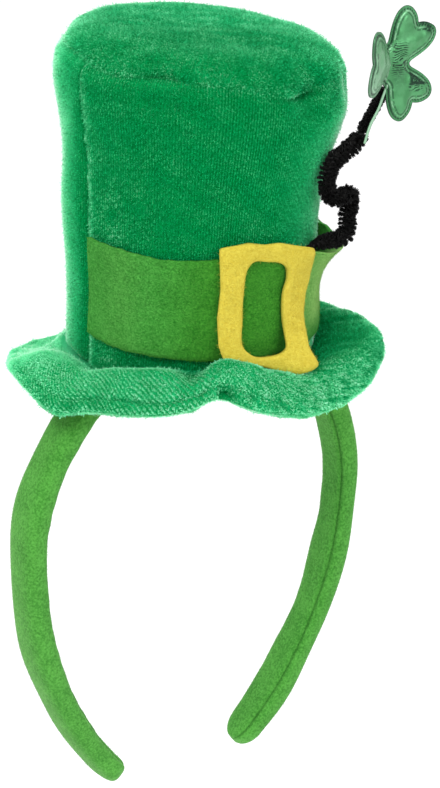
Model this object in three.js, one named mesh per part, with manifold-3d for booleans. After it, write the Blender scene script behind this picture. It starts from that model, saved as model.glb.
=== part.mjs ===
// Mini top hat on a padded headband, in millimetres, +Z up. The origin is on the inner face of the
// headband at the top of its arch, where it sits on the head. The hat's buckle faces -Y.
// Angles round the hat are in degrees from its front, growing towards +X.
import * as THREE from "three";
import { mergeVertices } from "three/addons/utils/BufferGeometryUtils.js";
import Module from "manifold-3d";

const wasm = await Module();
wasm.setup();

// Driving dimensions

const clearance = 0.3;
const weld = 1e-4;

const headband = { width: 14.4, thickness: 8.5, squareness: 3, stations: 21, sides: 14 };
const headbandTip = { length: 7, edge: 0.4, shares: [0.4, 0.72, 0.92, 0.995] };

// One side of the headband, from the top of the arch to its end.
const headbandArcs = [
  { radius: 85, sweep: 22.3 },
  { radius: 42, sweep: 31.6 },
  { radius: 65.5, sweep: 36.1 },
  { radius: 120.5, sweep: 47 },
];

const hat = { x: -3.3, y: 1.65, turn: -4.5, wall: 3 };

// The crown is a front and a back panel, sewn together at both sides and to a padded top.
const crown = { base: 5.4, seamRadius: 43.4, seamFlat: 2.2, leanTo: -119, leftSeam: -86, rightSeam: 94 };
const panel = { across: 20, along: 12, crowding: 1.4, thinning: 6 };
const sideSeamGroove = { depth: 1.3, halfWidth: 3.5, ending: 4 };
const crownTop = { rise: 10.6, fullness: 4, across: 40, along: 6 };

// Wall of the crown from brim (share 0) to top seam (share 1), and its lean towards crown.leanTo.
const crownRows = [
  { share: 0, radius: 40, lean: 0 },
  { share: 0.21, radius: 40.3, lean: 0 },
  { share: 0.47, radius: 41, lean: 1.7 },
  { share: 0.635, radius: 42, lean: 1.6 },
  { share: 0.76, radius: 44, lean: 1.3 },
  { share: 0.865, radius: 46, lean: 1.3 },
  { share: 0.94, radius: 46.6, lean: 1.5 },
  { share: 0.98, radius: 45.9, lean: 1.2 },
  { share: 1, radius: 43.4, lean: 0 },
];

// Height of the top seam round the crown.
const topSeamRows = [
  { angle: -150, height: 103 },
  { angle: -100, height: 103 },
  { angle: -70, height: 100.4 },
  { angle: -47, height: 101.4 },
  { angle: -24, height: 100.6 },
  { angle: 7, height: 97.6 },
  { angle: 28, height: 98.2 },
  { angle: 60, height: 97.8 },
  { angle: 110, height: 98.8 },
  { angle: 165, height: 101.6 },
];

// Soft hollows in the wall, each with the half width and half height over which it fades.
const crownDents = [
  { angle: -49, height: 95, depth: 1.4, wide: 9, tall: 4 },
  { angle: 17, height: 91, depth: 1.8, wide: 13, tall: 5 },
  { angle: 40, height: 58, depth: 1.2, wide: 20, tall: 18 },
];

// The padded brim runs from the crown over a ridge to its sewn edge. Its lower cloth goes on inwards as
// the base of the hat, arched over the headband.
const base = { middle: 8.9, drop: 6.3, arch: 3, radius: 38, thickness: 2.2 };
const brim = { root: 40.9, rootUnder: 1.2, padding: 9, across: 75, profile: 7 };
const brimEdge = { round: 2.4, setBack: 2 };

// Brim sections: top of the root against the crown, ridge and edge, each by radius and height.
const brimRows = [
  { angle: -150, root: 4.2, ridgeOut: 47, ridgeUp: -1.6, edgeOut: 57, edgeUp: -7 },
  { angle: -119, root: 4.2, ridgeOut: 48, ridgeUp: 1.4, edgeOut: 60, edgeUp: -3 },
  { angle: -100, root: 4.6, ridgeOut: 50, ridgeUp: 5.4, edgeOut: 60.8, edgeUp: -0.8 },
  { angle: -86, root: 5.5, ridgeOut: 50, ridgeUp: 6.6, edgeOut: 60.3, edgeUp: -2.5 },
  { angle: -75, root: 5.5, ridgeOut: 49, ridgeUp: 5.8, edgeOut: 59, edgeUp: -5.4 },
  { angle: -62, root: 6, ridgeOut: 49, ridgeUp: 8, edgeOut: 58, edgeUp: -2.6 },
  { angle: -49, root: 6.5, ridgeOut: 50, ridgeUp: 11, edgeOut: 57.5, edgeUp: -1.6 },
  { angle: -37, root: 6.5, ridgeOut: 50, ridgeUp: 11.3, edgeOut: 57, edgeUp: 0 },
  { angle: -30, root: 6.5, ridgeOut: 49, ridgeUp: 9.8, edgeOut: 55.5, edgeUp: 2.6 },
  { angle: -20.5, root: 8, ridgeOut: 48, ridgeUp: 14.6, edgeOut: 52.5, edgeUp: 7 },
  { angle: -9, root: 8, ridgeOut: 50, ridgeUp: 14, edgeOut: 58.5, edgeUp: 2.6 },
  { angle: 3, root: 6.5, ridgeOut: 50, ridgeUp: 10.6, edgeOut: 60, edgeUp: 0 },
  { angle: 15, root: 6, ridgeOut: 51, ridgeUp: 8, edgeOut: 60, edgeUp: -1 },
  { angle: 28, root: 7, ridgeOut: 53, ridgeUp: 9.4, edgeOut: 60.5, edgeUp: -0.6 },
  { angle: 42, root: 9, ridgeOut: 56, ridgeUp: 12.6, edgeOut: 62, edgeUp: 3 },
  { angle: 57, root: 10.5, ridgeOut: 58, ridgeUp: 13.5, edgeOut: 63.3, edgeUp: 6.6 },
  { angle: 72, root: 10.5, ridgeOut: 56.5, ridgeUp: 13.8, edgeOut: 61, edgeUp: 8 },
  { angle: 95, root: 9.5, ridgeOut: 53, ridgeUp: 11.5, edgeOut: 58.5, edgeUp: 5 },
  { angle: 125, root: 7.5, ridgeOut: 50, ridgeUp: 7, edgeOut: 57.5, edgeUp: 0 },
  { angle: 165, root: 5.2, ridgeOut: 48, ridgeUp: 1.6, edgeOut: 57, edgeUp: -5 },
];

// Felt band across the front panel. Its loose upper edge lifts off the crown where the stem is tucked in.
const band = { thickness: 1.5, from: -82, to: 91, liftPower: 4.5, across: 32, along: 5, crowding: 1.3 };
const bandRows = [
  { angle: -90, low: 16.5, top: 47, lift: 0 },
  { angle: -66, low: 13.7, top: 46, lift: 0 },
  { angle: -45, low: 13.2, top: 44.8, lift: 0 },
  { angle: -20, low: 12.8, top: 45.8, lift: 0.2 },
  { angle: 5, low: 13, top: 46, lift: 0.4 },
  { angle: 20, low: 13.5, top: 45.6, lift: 2.8 },
  { angle: 32, low: 14, top: 44, lift: 5.4 },
  { angle: 46, low: 14.5, top: 41.8, lift: 6.8 },
  { angle: 60, low: 15, top: 40.8, lift: 6.4 },
  { angle: 74, low: 15.5, top: 43.5, lift: 3.6 },
  { angle: 90, low: 16.5, top: 46, lift: 0.3 },
];

// Felt buckle, cut by hand: outer edge and window as laid flat, from the hat's front and upwards.
const buckle = { thickness: 1.8, stand: 0.6, radius: 44, sideSteps: 5, along: 3 };
const buckleLift = { start: 34, below: 4, low: 3, corner: 6, cornerX: 18 };
const buckleRows = [
  { outerX: -16.4, outerZ: 49.4, windowX: -7.4, windowZ: 43.8 },
  { outerX: -2.8, outerZ: 50.2, windowX: -1.6, windowZ: 45.4 },
  { outerX: 17.4, outerZ: 47.2, windowX: 6.2, windowZ: 43.2 },
  { outerX: 15.4, outerZ: 27.5, windowX: 6.9, windowZ: 28.6 },
  { outerX: 15.2, outerZ: 9.6, windowX: 8.2, windowZ: 15.6 },
  { outerX: -2.4, outerZ: 12.4, windowX: -1.4, windowZ: 15 },
  { outerX: -13.4, outerZ: 14.8, windowX: -8.2, windowZ: 17.8 },
  { outerX: -15.5, outerZ: 27.5, windowX: -9.1, windowZ: 32 },
];

// Chenille stem from the pocket behind the band up to the shamrock, by place round the hat.
const stem = { steps: 48, sides: 8 };
const stemRows = [
  { angle: 24.5, out: 41, up: 42.8, radius: 1.1 },
  { angle: 28, out: 41.8, up: 45.3, radius: 1.3 },
  { angle: 33, out: 45, up: 47.2, radius: 2.6 },
  { angle: 41, out: 49.5, up: 48.3, radius: 3 },
  { angle: 42, out: 49.6, up: 55, radius: 3 },
  { angle: 41, out: 50, up: 61.8, radius: 3 },
  { angle: 34, out: 46.6, up: 61.6, radius: 3 },
  { angle: 31, out: 45.2, up: 65, radius: 3 },
  { angle: 31, out: 45.4, up: 69.6, radius: 3 },
  { angle: 33, out: 46.4, up: 73.4, radius: 3 },
  { angle: 38.6, out: 49.4, up: 77, radius: 3 },
  { angle: 40.8, out: 51.3, up: 79.4, radius: 3 },
  { angle: 41.1, out: 52.1, up: 81.2, radius: 2.8 },
  { angle: 41.2, out: 52.5, up: 82.8, radius: 1.7 },
  { angle: 41.9, out: 54.8, up: 88.4, radius: 1.6 },
  { angle: 42.4, out: 56.5, up: 92.4, radius: 1.5 },
  { angle: 42.8, out: 57.9, up: 95.4, radius: 0.9 },
];

// Foil shamrock: puffed heart leaves with a flat welded rim, joined at a broad neck, and a stem tail.
const shamrock = { angle: 43.5, out: 61, up: 104.8, hub: 1.3, hubAround: 8, hubAlong: 6 };
const leafSize = { length: 17.2, puff: 1.1, rim: 0.4, rimShare: 0.86, belly: 0.5 };
const leafGrid = { around: 30, along: 4, crowding: 1.4 };
const leafRows = [
  { axis: [0.54, 0.02, 0.84], across: [0.84, -0.04, -0.55], width: 17.4 },
  { axis: [0.38, -0.03, -0.92], across: [0.92, -0.07, 0.38], width: 17.4 },
  { axis: [-0.86, -0.5, 0.08], across: [0.3, 0.22, 0.93], width: 20.4 },
];

// Right half of a leaf's outline from its neck to its notch, as shares of its length and width.
const leafOutline = [
  { along: -0.05, out: 0 },
  { along: 0.02, out: 0.16 },
  { along: 0.14, out: 0.245 },
  { along: 0.37, out: 0.39 },
  { along: 0.55, out: 0.47 },
  { along: 0.74, out: 0.5 },
  { along: 0.9, out: 0.45 },
  { along: 0.98, out: 0.33 },
  { along: 0.985, out: 0.2 },
  { along: 0.93, out: 0.07 },
  { along: 0.86, out: 0 },
];
const tail = { width: 1.4, thickness: 0.8, sides: 8, steps: 12 };
const tailRows = [
  { angle: 43.5, out: 61, up: 104.8 },
  { angle: 40.9, out: 58.5, up: 95 },
  { angle: 40, out: 57.4, up: 90.5 },
  { angle: 38.4, out: 55.6, up: 85.3 },
  { angle: 37, out: 54.6, up: 79.7 },
];

const finishes = {
  plush: { color: 0x14914f, roughness: 0.9, metalness: 0 },
  feltGreen: { color: 0x3f973a, roughness: 0.95, metalness: 0 },
  feltYellow: { color: 0xd8cb4c, roughness: 0.95, metalness: 0 },
  headbandFabric: { color: 0x58a247, roughness: 0.92, metalness: 0 },
  chenille: { color: 0x0d0e0b, roughness: 0.95, metalness: 0 },
  foil: { color: 0x60a770, roughness: 0.35, metalness: 0.6 },
};

// Tables and places

const { degToRad, lerp, clamp, smoothstep } = THREE.MathUtils;

// Every column of a table as a smooth function of one of them, running round where it has a period.
function smoothTable(rows, key, period = 0) {
  const columns = Object.keys(rows[0]).filter((name) => name !== key);
  const turns = period ? [-period, 0, period] : [0];
  const laid = turns.flatMap((turn) => rows.map((row) => ({ ...row, [key]: row[key] + turn })));
  const spline = new THREE.CubicInterpolant(
    laid.map((row) => row[key]),
    laid.flatMap((row) => columns.map((name) => row[name])),
    columns.length,
  );
  return (at) => {
    const values = spline.evaluate(at);
    return Object.fromEntries(columns.map((name, i) => [name, values[i]]));
  };
}

// A point of the hat by its angle in degrees, distance from the axis and height.
function place(angle, out, up) {
  const turn = degToRad(angle);
  return new THREE.Vector3(out * Math.sin(turn), -out * Math.cos(turn), up);
}

const fade = (offset, width) => Math.exp(-((offset / width) ** 2));

// Closed solids

function closedGeometry(positions, index) {
  const loose = new THREE.BufferGeometry();
  loose.setAttribute("position", new THREE.Float32BufferAttribute(positions, 3));
  loose.setIndex(index);
  const geometry = mergeVertices(loose, weld);
  const corners = geometry.index.array;
  const kept = [];
  for (let i = 0; i < corners.length; i += 3) {
    const [a, b, c] = corners.slice(i, i + 3);
    if (a !== b && b !== c && c !== a) kept.push(a, b, c);
  }
  return geometry.setIndex(kept);
}

// The solid between two surfaces, each a function of u and v from 0 to 1. Seen from outside, u runs to
// the right and v upwards. A closed one has u = 1 at u = 0.
function solidBetween({ across, along, closed, outside, inside }) {
  const columns = closed ? across : across + 1;
  const positions = [];
  for (const surface of [outside, inside]) {
    for (let i = 0; i < columns; i++) {
      for (let j = 0; j <= along; j++) positions.push(...surface(i / across, j / along).toArray());
    }
  }
  const at = (side, i, j) => (side * columns + (i % columns)) * (along + 1) + j;
  const index = [];
  const quad = (a, b, c, d) => index.push(a, b, c, a, c, d);
  for (let i = 0; i < across; i++) {
    for (let j = 0; j < along; j++) {
      quad(at(0, i, j), at(0, i + 1, j), at(0, i + 1, j + 1), at(0, i, j + 1));
      quad(at(1, i, j), at(1, i, j + 1), at(1, i + 1, j + 1), at(1, i + 1, j));
    }
    quad(at(1, i, 0), at(1, i + 1, 0), at(0, i + 1, 0), at(0, i, 0));
    quad(at(0, i, along), at(0, i + 1, along), at(1, i + 1, along), at(1, i, along));
  }
  for (let j = 0; j < along && !closed; j++) {
    quad(at(0, 0, j), at(0, 0, j + 1), at(1, 0, j + 1), at(1, 0, j));
    quad(at(0, across, j), at(1, across, j), at(1, across, j + 1), at(0, across, j + 1));
  }
  return closedGeometry(positions, index);
}

// The solid through rings of points, its ends closed by fans. Each ring turns from its first axis to its
// second, and their cross product points along the solid.
function loft(rings) {
  const sides = rings[0].length;
  const last = (rings.length - 1) * sides;
  const middle = (ring) => ring.reduce((sum, p) => sum.add(p), new THREE.Vector3()).divideScalar(sides);
  const points = [...rings.flat(), middle(rings[0]), middle(rings.at(-1))];
  const start = last + sides;
  const index = [];
  for (let k = 0; k < sides; k++) {
    const next = (k + 1) % sides;
    for (let r = 0; r < last; r += sides) {
      index.push(r + k, r + next, r + sides + next, r + k, r + sides + next, r + sides + k);
    }
    index.push(start, next, k, start + 1, last + k, last + next);
  }
  return closedGeometry(points.flatMap((p) => p.toArray()), index);
}

// A rounded section about a centre, spanned by two axes that carry its half sizes.
function roundRing(centre, first, second, sides, squareness = 2) {
  const bend = (value) => Math.sign(value) * Math.abs(value) ** (2 / squareness);
  return Array.from({ length: sides }, (_, k) => {
    const turn = (2 * Math.PI * k) / sides;
    const point = centre.clone().addScaledVector(first, bend(Math.cos(turn)));
    return point.addScaledVector(second, bend(Math.sin(turn)));
  });
}

// A round tube along a smooth route, with the half sizes of its section given at each share of the route.
function tubeAlong(points, steps, sides, halfSizes) {
  const route = new THREE.CatmullRomCurve3(points, false, "centripetal");
  const frames = route.computeFrenetFrames(steps);
  const rings = frames.tangents.map((_, i) => {
    const [wide, thick] = halfSizes(route.getUtoTmapping(i / steps));
    const first = frames.normals[i].clone().multiplyScalar(wide);
    const second = frames.binormals[i].clone().multiplyScalar(thick);
    return roundRing(route.getPointAt(i / steps), first, second, sides);
  });
  return loft(rings);
}

function toSolid(geometry) {
  const mesh = { numProp: 3, vertProperties: geometry.attributes.position.array };
  return new wasm.Manifold(new wasm.Mesh({ ...mesh, triVerts: new Uint32Array(geometry.index.array) }));
}

function fused(geometries) {
  const mesh = geometries.map(toSolid).reduce((whole, piece) => whole.add(piece)).getMesh();
  return closedGeometry(Array.from(mesh.vertProperties), Array.from(mesh.triVerts));
}

// Headband

// The middle of the headband at a distance along it from the top of the arch, and its slope there.
function archAt(distance) {
  const side = Math.sign(distance) || 1;
  let left = Math.abs(distance);
  let heading = 0;
  let x = 0;
  let z = headband.thickness / 2;
  for (const { radius, sweep } of headbandArcs) {
    const turn = clamp(left / radius, 0, degToRad(sweep));
    x += radius * (Math.sin(heading + turn) - Math.sin(heading));
    z -= radius * (Math.cos(heading) - Math.cos(heading + turn));
    heading += turn;
    left -= radius * turn;
  }
  return { centre: new THREE.Vector3(side * x, 0, z), heading: side * heading };
}

function headbandGeometry() {
  const half = headbandArcs.reduce((sum, { radius, sweep }) => sum + radius * degToRad(sweep), 0);
  const straight = half - headbandTip.length;
  const step = straight / headband.stations;
  const stops = Array.from({ length: headband.stations }, (_, i) => step * (i + 1));
  const right = [...stops, ...headbandTip.shares.map((share) => straight + share * headbandTip.length)];
  const left = right.map((stop) => -stop).reverse();
  const rings = [...left, 0, ...right].map((stop) => {
    const { centre, heading } = archAt(stop);
    const intoTip = clamp((Math.abs(stop) - straight) / headbandTip.length, 0, 1);
    const rounding = Math.sqrt(1 - intoTip ** 2);
    const across = new THREE.Vector3(0, (headband.width / 2) * rounding, 0);
    const outward = new THREE.Vector3(Math.sin(heading), 0, Math.cos(heading));
    outward.multiplyScalar((headband.thickness / 2) * lerp(headbandTip.edge, 1, rounding));
    return roundRing(centre, across, outward, headband.sides, headband.squareness);
  });
  return loft(rings);
}

// Crown

const crownAt = smoothTable(crownRows, "share");
const topSeamAt = smoothTable(topSeamRows, "angle", 360);

function crownRadius(angle, up) {
  const share = clamp((up - crown.base) / (topSeamAt(angle).height - crown.base), 0, 1);
  const { radius, lean } = crownAt(share);
  const dents = crownDents.map(
    (dent) => dent.depth * fade(angle - dent.angle, dent.wide) * fade(up - dent.height, dent.tall),
  );
  const seamOffset = Math.min(Math.abs(angle - crown.leftSeam), Math.abs(angle - crown.rightSeam));
  const ending = 1 - share ** sideSeamGroove.ending;
  const groove = sideSeamGroove.depth * fade(seamOffset, sideSeamGroove.halfWidth) * ending;
  const leaning = lean * Math.cos(degToRad(angle - crown.leanTo));
  return radius + leaning - groove - dents.reduce((sum, dent) => sum + dent, 0);
}

function crownPanel(from, to) {
  const edge = THREE.MathUtils.radToDeg(clearance / 2 / crown.seamRadius);
  const point = (u, v, inwards) => {
    const angle = lerp(from + edge, to - edge, u);
    const wrapped = angle > 180 ? angle - 360 : angle;
    const seam = topSeamAt(wrapped).height - clearance / 2;
    const up = lerp(crown.base, seam, 1 - (1 - v) ** panel.crowding);
    const inset = lerp(inwards, Math.min(inwards, crown.seamFlat), v ** panel.thinning);
    return place(angle, crownRadius(wrapped, up) - inset, up);
  };
  return solidBetween({
    across: panel.across,
    along: panel.along,
    closed: false,
    outside: (u, v) => point(u, v, 0),
    inside: (u, v) => point(u, v, hat.wall),
  });
}

function crownTopGeometry() {
  const point = (u, v, inset, drop) => {
    const angle = lerp(-180, 180, u);
    const climb = (v * Math.PI) / 2;
    const share = Math.cos(climb) ** (2 / crownTop.fullness);
    const rise = (crownTop.rise - drop) * Math.sin(climb);
    const seam = lerp(topSeamAt(angle).height, topSeamAt(-24).height, v);
    return place(angle, share * (crown.seamRadius - inset), seam + clearance / 2 + rise);
  };
  return solidBetween({
    across: crownTop.across,
    along: crownTop.along,
    closed: true,
    outside: (u, v) => point(u, v, 0, 0),
    inside: (u, v) => point(u, v, crown.seamFlat, hat.wall),
  });
}

// Brim and base

const brimAt = smoothTable(brimRows, "angle", 360);

// Points of one brim section from its edge to the hat's axis, over the top or along the underside.
function brimSection(angle, over) {
  const { root, ridgeOut, ridgeUp, edgeOut, edgeUp } = brimAt(angle);
  const edge = new THREE.Vector2(edgeOut, edgeUp);
  const ridge = new THREE.Vector2(ridgeOut, over ? ridgeUp : ridgeUp - brim.padding);
  const slope = new THREE.Vector2(edgeOut - ridgeOut, edgeUp - ridgeUp + brim.padding / 2).normalize();
  const side = over ? brimEdge.round : -brimEdge.round;
  const roll = new THREE.Vector2(-slope.y, slope.x).multiplyScalar(side).add(edge);
  roll.addScaledVector(slope, -brimEdge.setBack);
  const foot = new THREE.Vector2(brim.root, over ? root : brim.rootUnder);
  const profile = new THREE.SplineCurve([edge, roll, ridge, foot]);
  const floor = over ? base.thickness : 0;
  const arch = (out) => base.middle - base.drop * (out / base.radius) ** base.arch;
  const floorAt = (out) => new THREE.Vector2(out, arch(out) + floor);
  const innerEdge = over ? brim.root - clearance : base.radius;
  return [...profile.getPoints(brim.profile), floorAt(innerEdge), floorAt(innerEdge / 2), floorAt(0)];
}

function brimGeometry() {
  const sectionPoint = (over) => (u, v) => {
    const angle = lerp(-180, 180, u);
    const section = brimSection(angle, over);
    const { x, y } = section[Math.round(v * (section.length - 1))];
    return place(angle, x, y);
  };
  return solidBetween({
    across: brim.across,
    along: brimSection(0, true).length - 1,
    closed: true,
    outside: sectionPoint(true),
    inside: sectionPoint(false),
  });
}

// Felt band and buckle

const bandAt = smoothTable(bandRows, "angle");

// Distance from the hat's axis to the inner face of the band, at a place on it or just off its edges.
function bandRadius(angle, up) {
  const { low, top, lift } = bandAt(angle);
  const share = clamp((up - low) / (top - low), 0, 1);
  return crownRadius(angle, up) + clearance + Math.max(lift, 0) * share ** band.liftPower;
}

function bandGeometry() {
  const point = (u, v, outwards) => {
    const angle = lerp(band.from, band.to, u);
    const { low, top } = bandAt(angle);
    const up = lerp(low, top, 1 - (1 - v) ** band.crowding);
    return place(angle, bandRadius(angle, up) + outwards, up);
  };
  return solidBetween({
    across: band.across,
    along: band.along,
    closed: false,
    outside: (u, v) => point(u, v, band.thickness),
    inside: (u, v) => point(u, v, 0),
  });
}

function buckleGeometry() {
  const windowCurve = new THREE.CatmullRomCurve3(
    buckleRows.map((row) => new THREE.Vector3(row.windowX, 0, row.windowZ)),
    true,
  );
  const flatPoint = (u, v) => {
    const along = (u * buckleRows.length) % buckleRows.length;
    const here = buckleRows[Math.floor(along)];
    const next = buckleRows[(Math.floor(along) + 1) % buckleRows.length];
    const window = windowCurve.getPoint(u % 1);
    const outerX = lerp(here.outerX, next.outerX, along % 1);
    const outerZ = lerp(here.outerZ, next.outerZ, along % 1);
    return { x: lerp(window.x, outerX, v), z: lerp(window.z, outerZ, v) };
  };
  const point = (u, v, outwards) => {
    const { x, z } = flatPoint(u, v);
    const angle = THREE.MathUtils.radToDeg(x / buckle.radius);
    const low = 1 - smoothstep(z, bandAt(angle).low - buckleLift.below, buckleLift.start);
    const lift = (buckleLift.low + buckleLift.corner * smoothstep(x, 0, buckleLift.cornerX)) * low ** 2;
    const held = bandRadius(angle, z) + band.thickness + buckle.stand;
    return place(angle, held + lift + outwards, z);
  };
  return solidBetween({
    across: buckleRows.length * buckle.sideSteps,
    along: buckle.along,
    closed: true,
    outside: (u, v) => point(u, v, buckle.thickness),
    inside: (u, v) => point(u, v, 0),
  });
}

// Stem and shamrock

function stemGeometry() {
  const points = stemRows.map(({ angle, out, up }) => place(angle, out, up));
  const radiusAt = (share) => {
    const row = share * (stemRows.length - 1);
    const next = stemRows[Math.min(Math.floor(row) + 1, stemRows.length - 1)];
    const radius = lerp(stemRows[Math.floor(row)].radius, next.radius, row % 1);
    return [radius, radius];
  };
  return tubeAlong(points, stem.steps, stem.sides, radiusAt);
}

const leafEdge = new THREE.CatmullRomCurve3(
  [...leafOutline, ...leafOutline.slice(1, -1).reverse().map((row) => ({ ...row, out: -row.out }))].map(
    ({ along, out }) => new THREE.Vector3(out, along, 0),
  ),
  true,
);

function leafGeometry(centre, row) {
  const axis = new THREE.Vector3(...row.axis).normalize();
  const across = new THREE.Vector3(...row.across).projectOnPlane(axis).normalize();
  const face = new THREE.Vector3().crossVectors(across, axis);
  const point = (u, v, side) => {
    const edge = leafEdge.getPoint(u);
    const share = 1 - v ** leafGrid.crowding;
    const puffed = leafSize.puff * Math.sqrt(Math.max(0, 1 - (share / leafSize.rimShare) ** 2));
    const at = centre.clone().addScaledVector(across, edge.x * share * row.width);
    at.addScaledVector(axis, lerp(leafSize.belly, edge.y, share) * leafSize.length);
    return at.addScaledVector(face, side * (leafSize.rim + puffed));
  };
  return solidBetween({
    across: leafGrid.around,
    along: leafGrid.along,
    closed: true,
    outside: (u, v) => point(u, v, 1),
    inside: (u, v) => point(u, v, -1),
  });
}

function shamrockGeometry() {
  const centre = place(shamrock.angle, shamrock.out, shamrock.up);
  const hub = new THREE.SphereGeometry(shamrock.hub, shamrock.hubAround, shamrock.hubAlong);
  hub.translate(centre.x, centre.y, centre.z);
  hub.deleteAttribute("normal");
  hub.deleteAttribute("uv");
  const tailRoute = tailRows.map(({ angle, out, up }) => place(angle, out, up));
  const tailSize = () => [tail.width / 2, tail.thickness / 2];
  return fused([
    closedGeometry(Array.from(hub.attributes.position.array), Array.from(hub.index.array)),
    tubeAlong(tailRoute, tail.steps, tail.sides, tailSize),
    ...leafRows.map((row) => leafGeometry(centre, row)),
  ]);
}

// Scene graph

function piece(name, geometry, finish) {
  geometry.computeVertexNormals();
  const mesh = new THREE.Mesh(geometry, new THREE.MeshStandardMaterial(finish));
  mesh.name = name;
  return mesh;
}

const hatGroup = new THREE.Group();
hatGroup.position.set(hat.x, hat.y, 0);
hatGroup.rotation.z = degToRad(hat.turn);
hatGroup.add(
  piece("brim", brimGeometry(), finishes.plush),
  piece("crown_front", crownPanel(crown.leftSeam, crown.rightSeam), finishes.plush),
  piece("crown_back", crownPanel(crown.rightSeam, 360 + crown.leftSeam), finishes.plush),
  piece("crown_top", crownTopGeometry(), finishes.plush),
  piece("hat_band", bandGeometry(), finishes.feltGreen),
  piece("buckle", buckleGeometry(), finishes.feltYellow),
  piece("pipe_cleaner", stemGeometry(), finishes.chenille),
  piece("shamrock", shamrockGeometry(), finishes.foil),
);

const part = new THREE.Group();
part.add(piece("headband", headbandGeometry(), finishes.headbandFabric), hatGroup);

export default part;
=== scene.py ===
import math

import bmesh
import bpy
import numpy as np
from mathutils import Matrix, Vector


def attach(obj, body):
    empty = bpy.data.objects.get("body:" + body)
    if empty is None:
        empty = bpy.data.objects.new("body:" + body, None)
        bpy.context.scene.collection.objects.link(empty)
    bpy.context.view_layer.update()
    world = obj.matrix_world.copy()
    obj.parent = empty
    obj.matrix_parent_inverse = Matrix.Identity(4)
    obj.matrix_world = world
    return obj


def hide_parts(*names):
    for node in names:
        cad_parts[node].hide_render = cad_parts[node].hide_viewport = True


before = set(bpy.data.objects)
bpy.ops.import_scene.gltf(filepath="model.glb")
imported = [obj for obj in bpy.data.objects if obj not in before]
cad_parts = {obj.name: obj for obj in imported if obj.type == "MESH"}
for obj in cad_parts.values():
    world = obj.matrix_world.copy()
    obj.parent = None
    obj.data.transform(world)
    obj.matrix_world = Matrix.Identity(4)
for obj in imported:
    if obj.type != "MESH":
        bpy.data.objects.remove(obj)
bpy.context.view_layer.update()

MM = 0.001


# Tables of the hat, in millimetres and degrees. Angles run round the hat from its front towards +X.


def smooth(rows, period=0.0):
    """Smooth functions of a table's first column, one for each other column, read together."""
    laid = np.array(rows, float)
    if period:
        turn = np.zeros(laid.shape[1])
        turn[0] = period
        laid = np.vstack([laid - turn, laid, laid + turn])
    at, values = laid[:, 0], laid[:, 1:]
    slope = np.diff(values, axis=0) / np.diff(at)[:, None]
    lean = np.vstack([slope[:1], (slope[:-1] + slope[1:]) / 2, slope[-1:]])

    def read(x):
        x = np.asarray(x, float)
        k = np.clip(np.searchsorted(at, x, side="right") - 1, 0, len(at) - 2)
        step = (at[k + 1] - at[k])[..., None]
        p = np.clip((x - at[k])[..., None] / step, 0, 1)
        ends = values[k] * (1 + 2 * p) * (1 - p) ** 2 + values[k + 1] * p**2 * (3 - 2 * p)
        bends = lean[k] * p * (1 - p) ** 2 - lean[k + 1] * p**2 * (1 - p)
        return np.moveaxis(ends + bends * step, -1, 0)

    return read


# where the hat sits on the headband
HAT_X, HAT_Y, HAT_TURN = -3.3, 1.65, math.radians(-4.5)

# foot of the crown, radius of its top seam, and the angles it leans to, is sewn at and is dented at
CROWN_BASE, SEAM_RADIUS, LEAN_TO = 5.4, 43.4, -119
LEFT_SEAM, RIGHT_SEAM, LEFT_DENT = -86, 94, -49

# thickness of the padded wall, of its edge at the top seam and of the nap
WALL, SEAM_FLAT, PILE = 3.0, 2.2, 0.45

# gaps at the top seam and, in degrees, at the side seams
TOP_GAP, SIDE_GAP = 0.02, 0.1

# usual distance of the crown's cloth from the axis, and of its threads from each other
CROWN_MIDDLE, THREAD_GAP = 41, 0.85

# share of the height, radius, lean
crown_wall = smooth([
    (0, 40, 0),
    (0.21, 40.3, 0),
    (0.47, 41, 1.7),
    (0.635, 42, 1.6),
    (0.76, 44, 1),
    (0.865, 46, 0.8),
    (0.94, 46.6, 0.9),
    (0.98, 45.9, 0.7),
    (1, 43.4, 0),
])

# angle, height of the top seam
top_seam = smooth([
    (-150, 103), (-100, 103), (-70, 100.4), (-47, 101.4), (-24, 100.6), (7, 97.6), (28, 98.2),
    (60, 97.8), (110, 98.8), (165, 101.6),
], 360)

# angle, height, depth, half width and half height of a soft hollow
CROWN_DENTS = [
    (LEFT_DENT, 95, 1.4, 9, 4),
    (17, 91, 1.8, 13, 5),
    (40, 58, 1.2, 20, 18),
    (66, 27, 1.6, 24, 10),
]

# angle, root, ridge out, ridge up, edge out, edge up
brim_rows = smooth([
    (-150, 4.2, 47, -3.8, 56.6, -6.4),
    (-119, 4.2, 48, 0.3, 58.2, -3.2),
    (-100, 4.4, 50, 5.2, 60, -1),
    (-86, 4.2, 50, 6.4, 60.8, -2.6),
    (-75, 3.6, 49, 5.2, 60.4, -5.6),
    (-62, 5.6, 49, 8.6, 58.4, -2.8),
    (-49, 7.6, 50, 11.2, 57.5, -1.6),
    (-37, 9.2, 50, 10.9, 57, -0.2),
    (-30, 9.4, 49, 8.4, 55.8, 1.8),
    (-20.5, 9.4, 48, 14.6, 53.2, 4.4),
    (-9, 8.4, 50, 14, 58.5, 1.6),
    (3, 6.5, 50, 10.6, 60, -0.6),
    (15, 6, 51, 8, 60, -1.5),
    (28, 7, 53, 9.4, 60.5, -1),
    (42, 9, 56, 12.6, 62, 2.8),
    (57, 10.5, 58, 13.5, 63.2, 6.4),
    (72, 10.5, 56.5, 13.4, 61, 7.8),
    (86, 10, 54.5, 11.9, 59.5, 5.6),
    (96, 9.5, 53, 11.4, 58.5, 4.4),
    (125, 7.5, 50, 7, 57.5, 0),
    (165, 5.2, 48, -2, 57, -6.5),
], 360)

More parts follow.
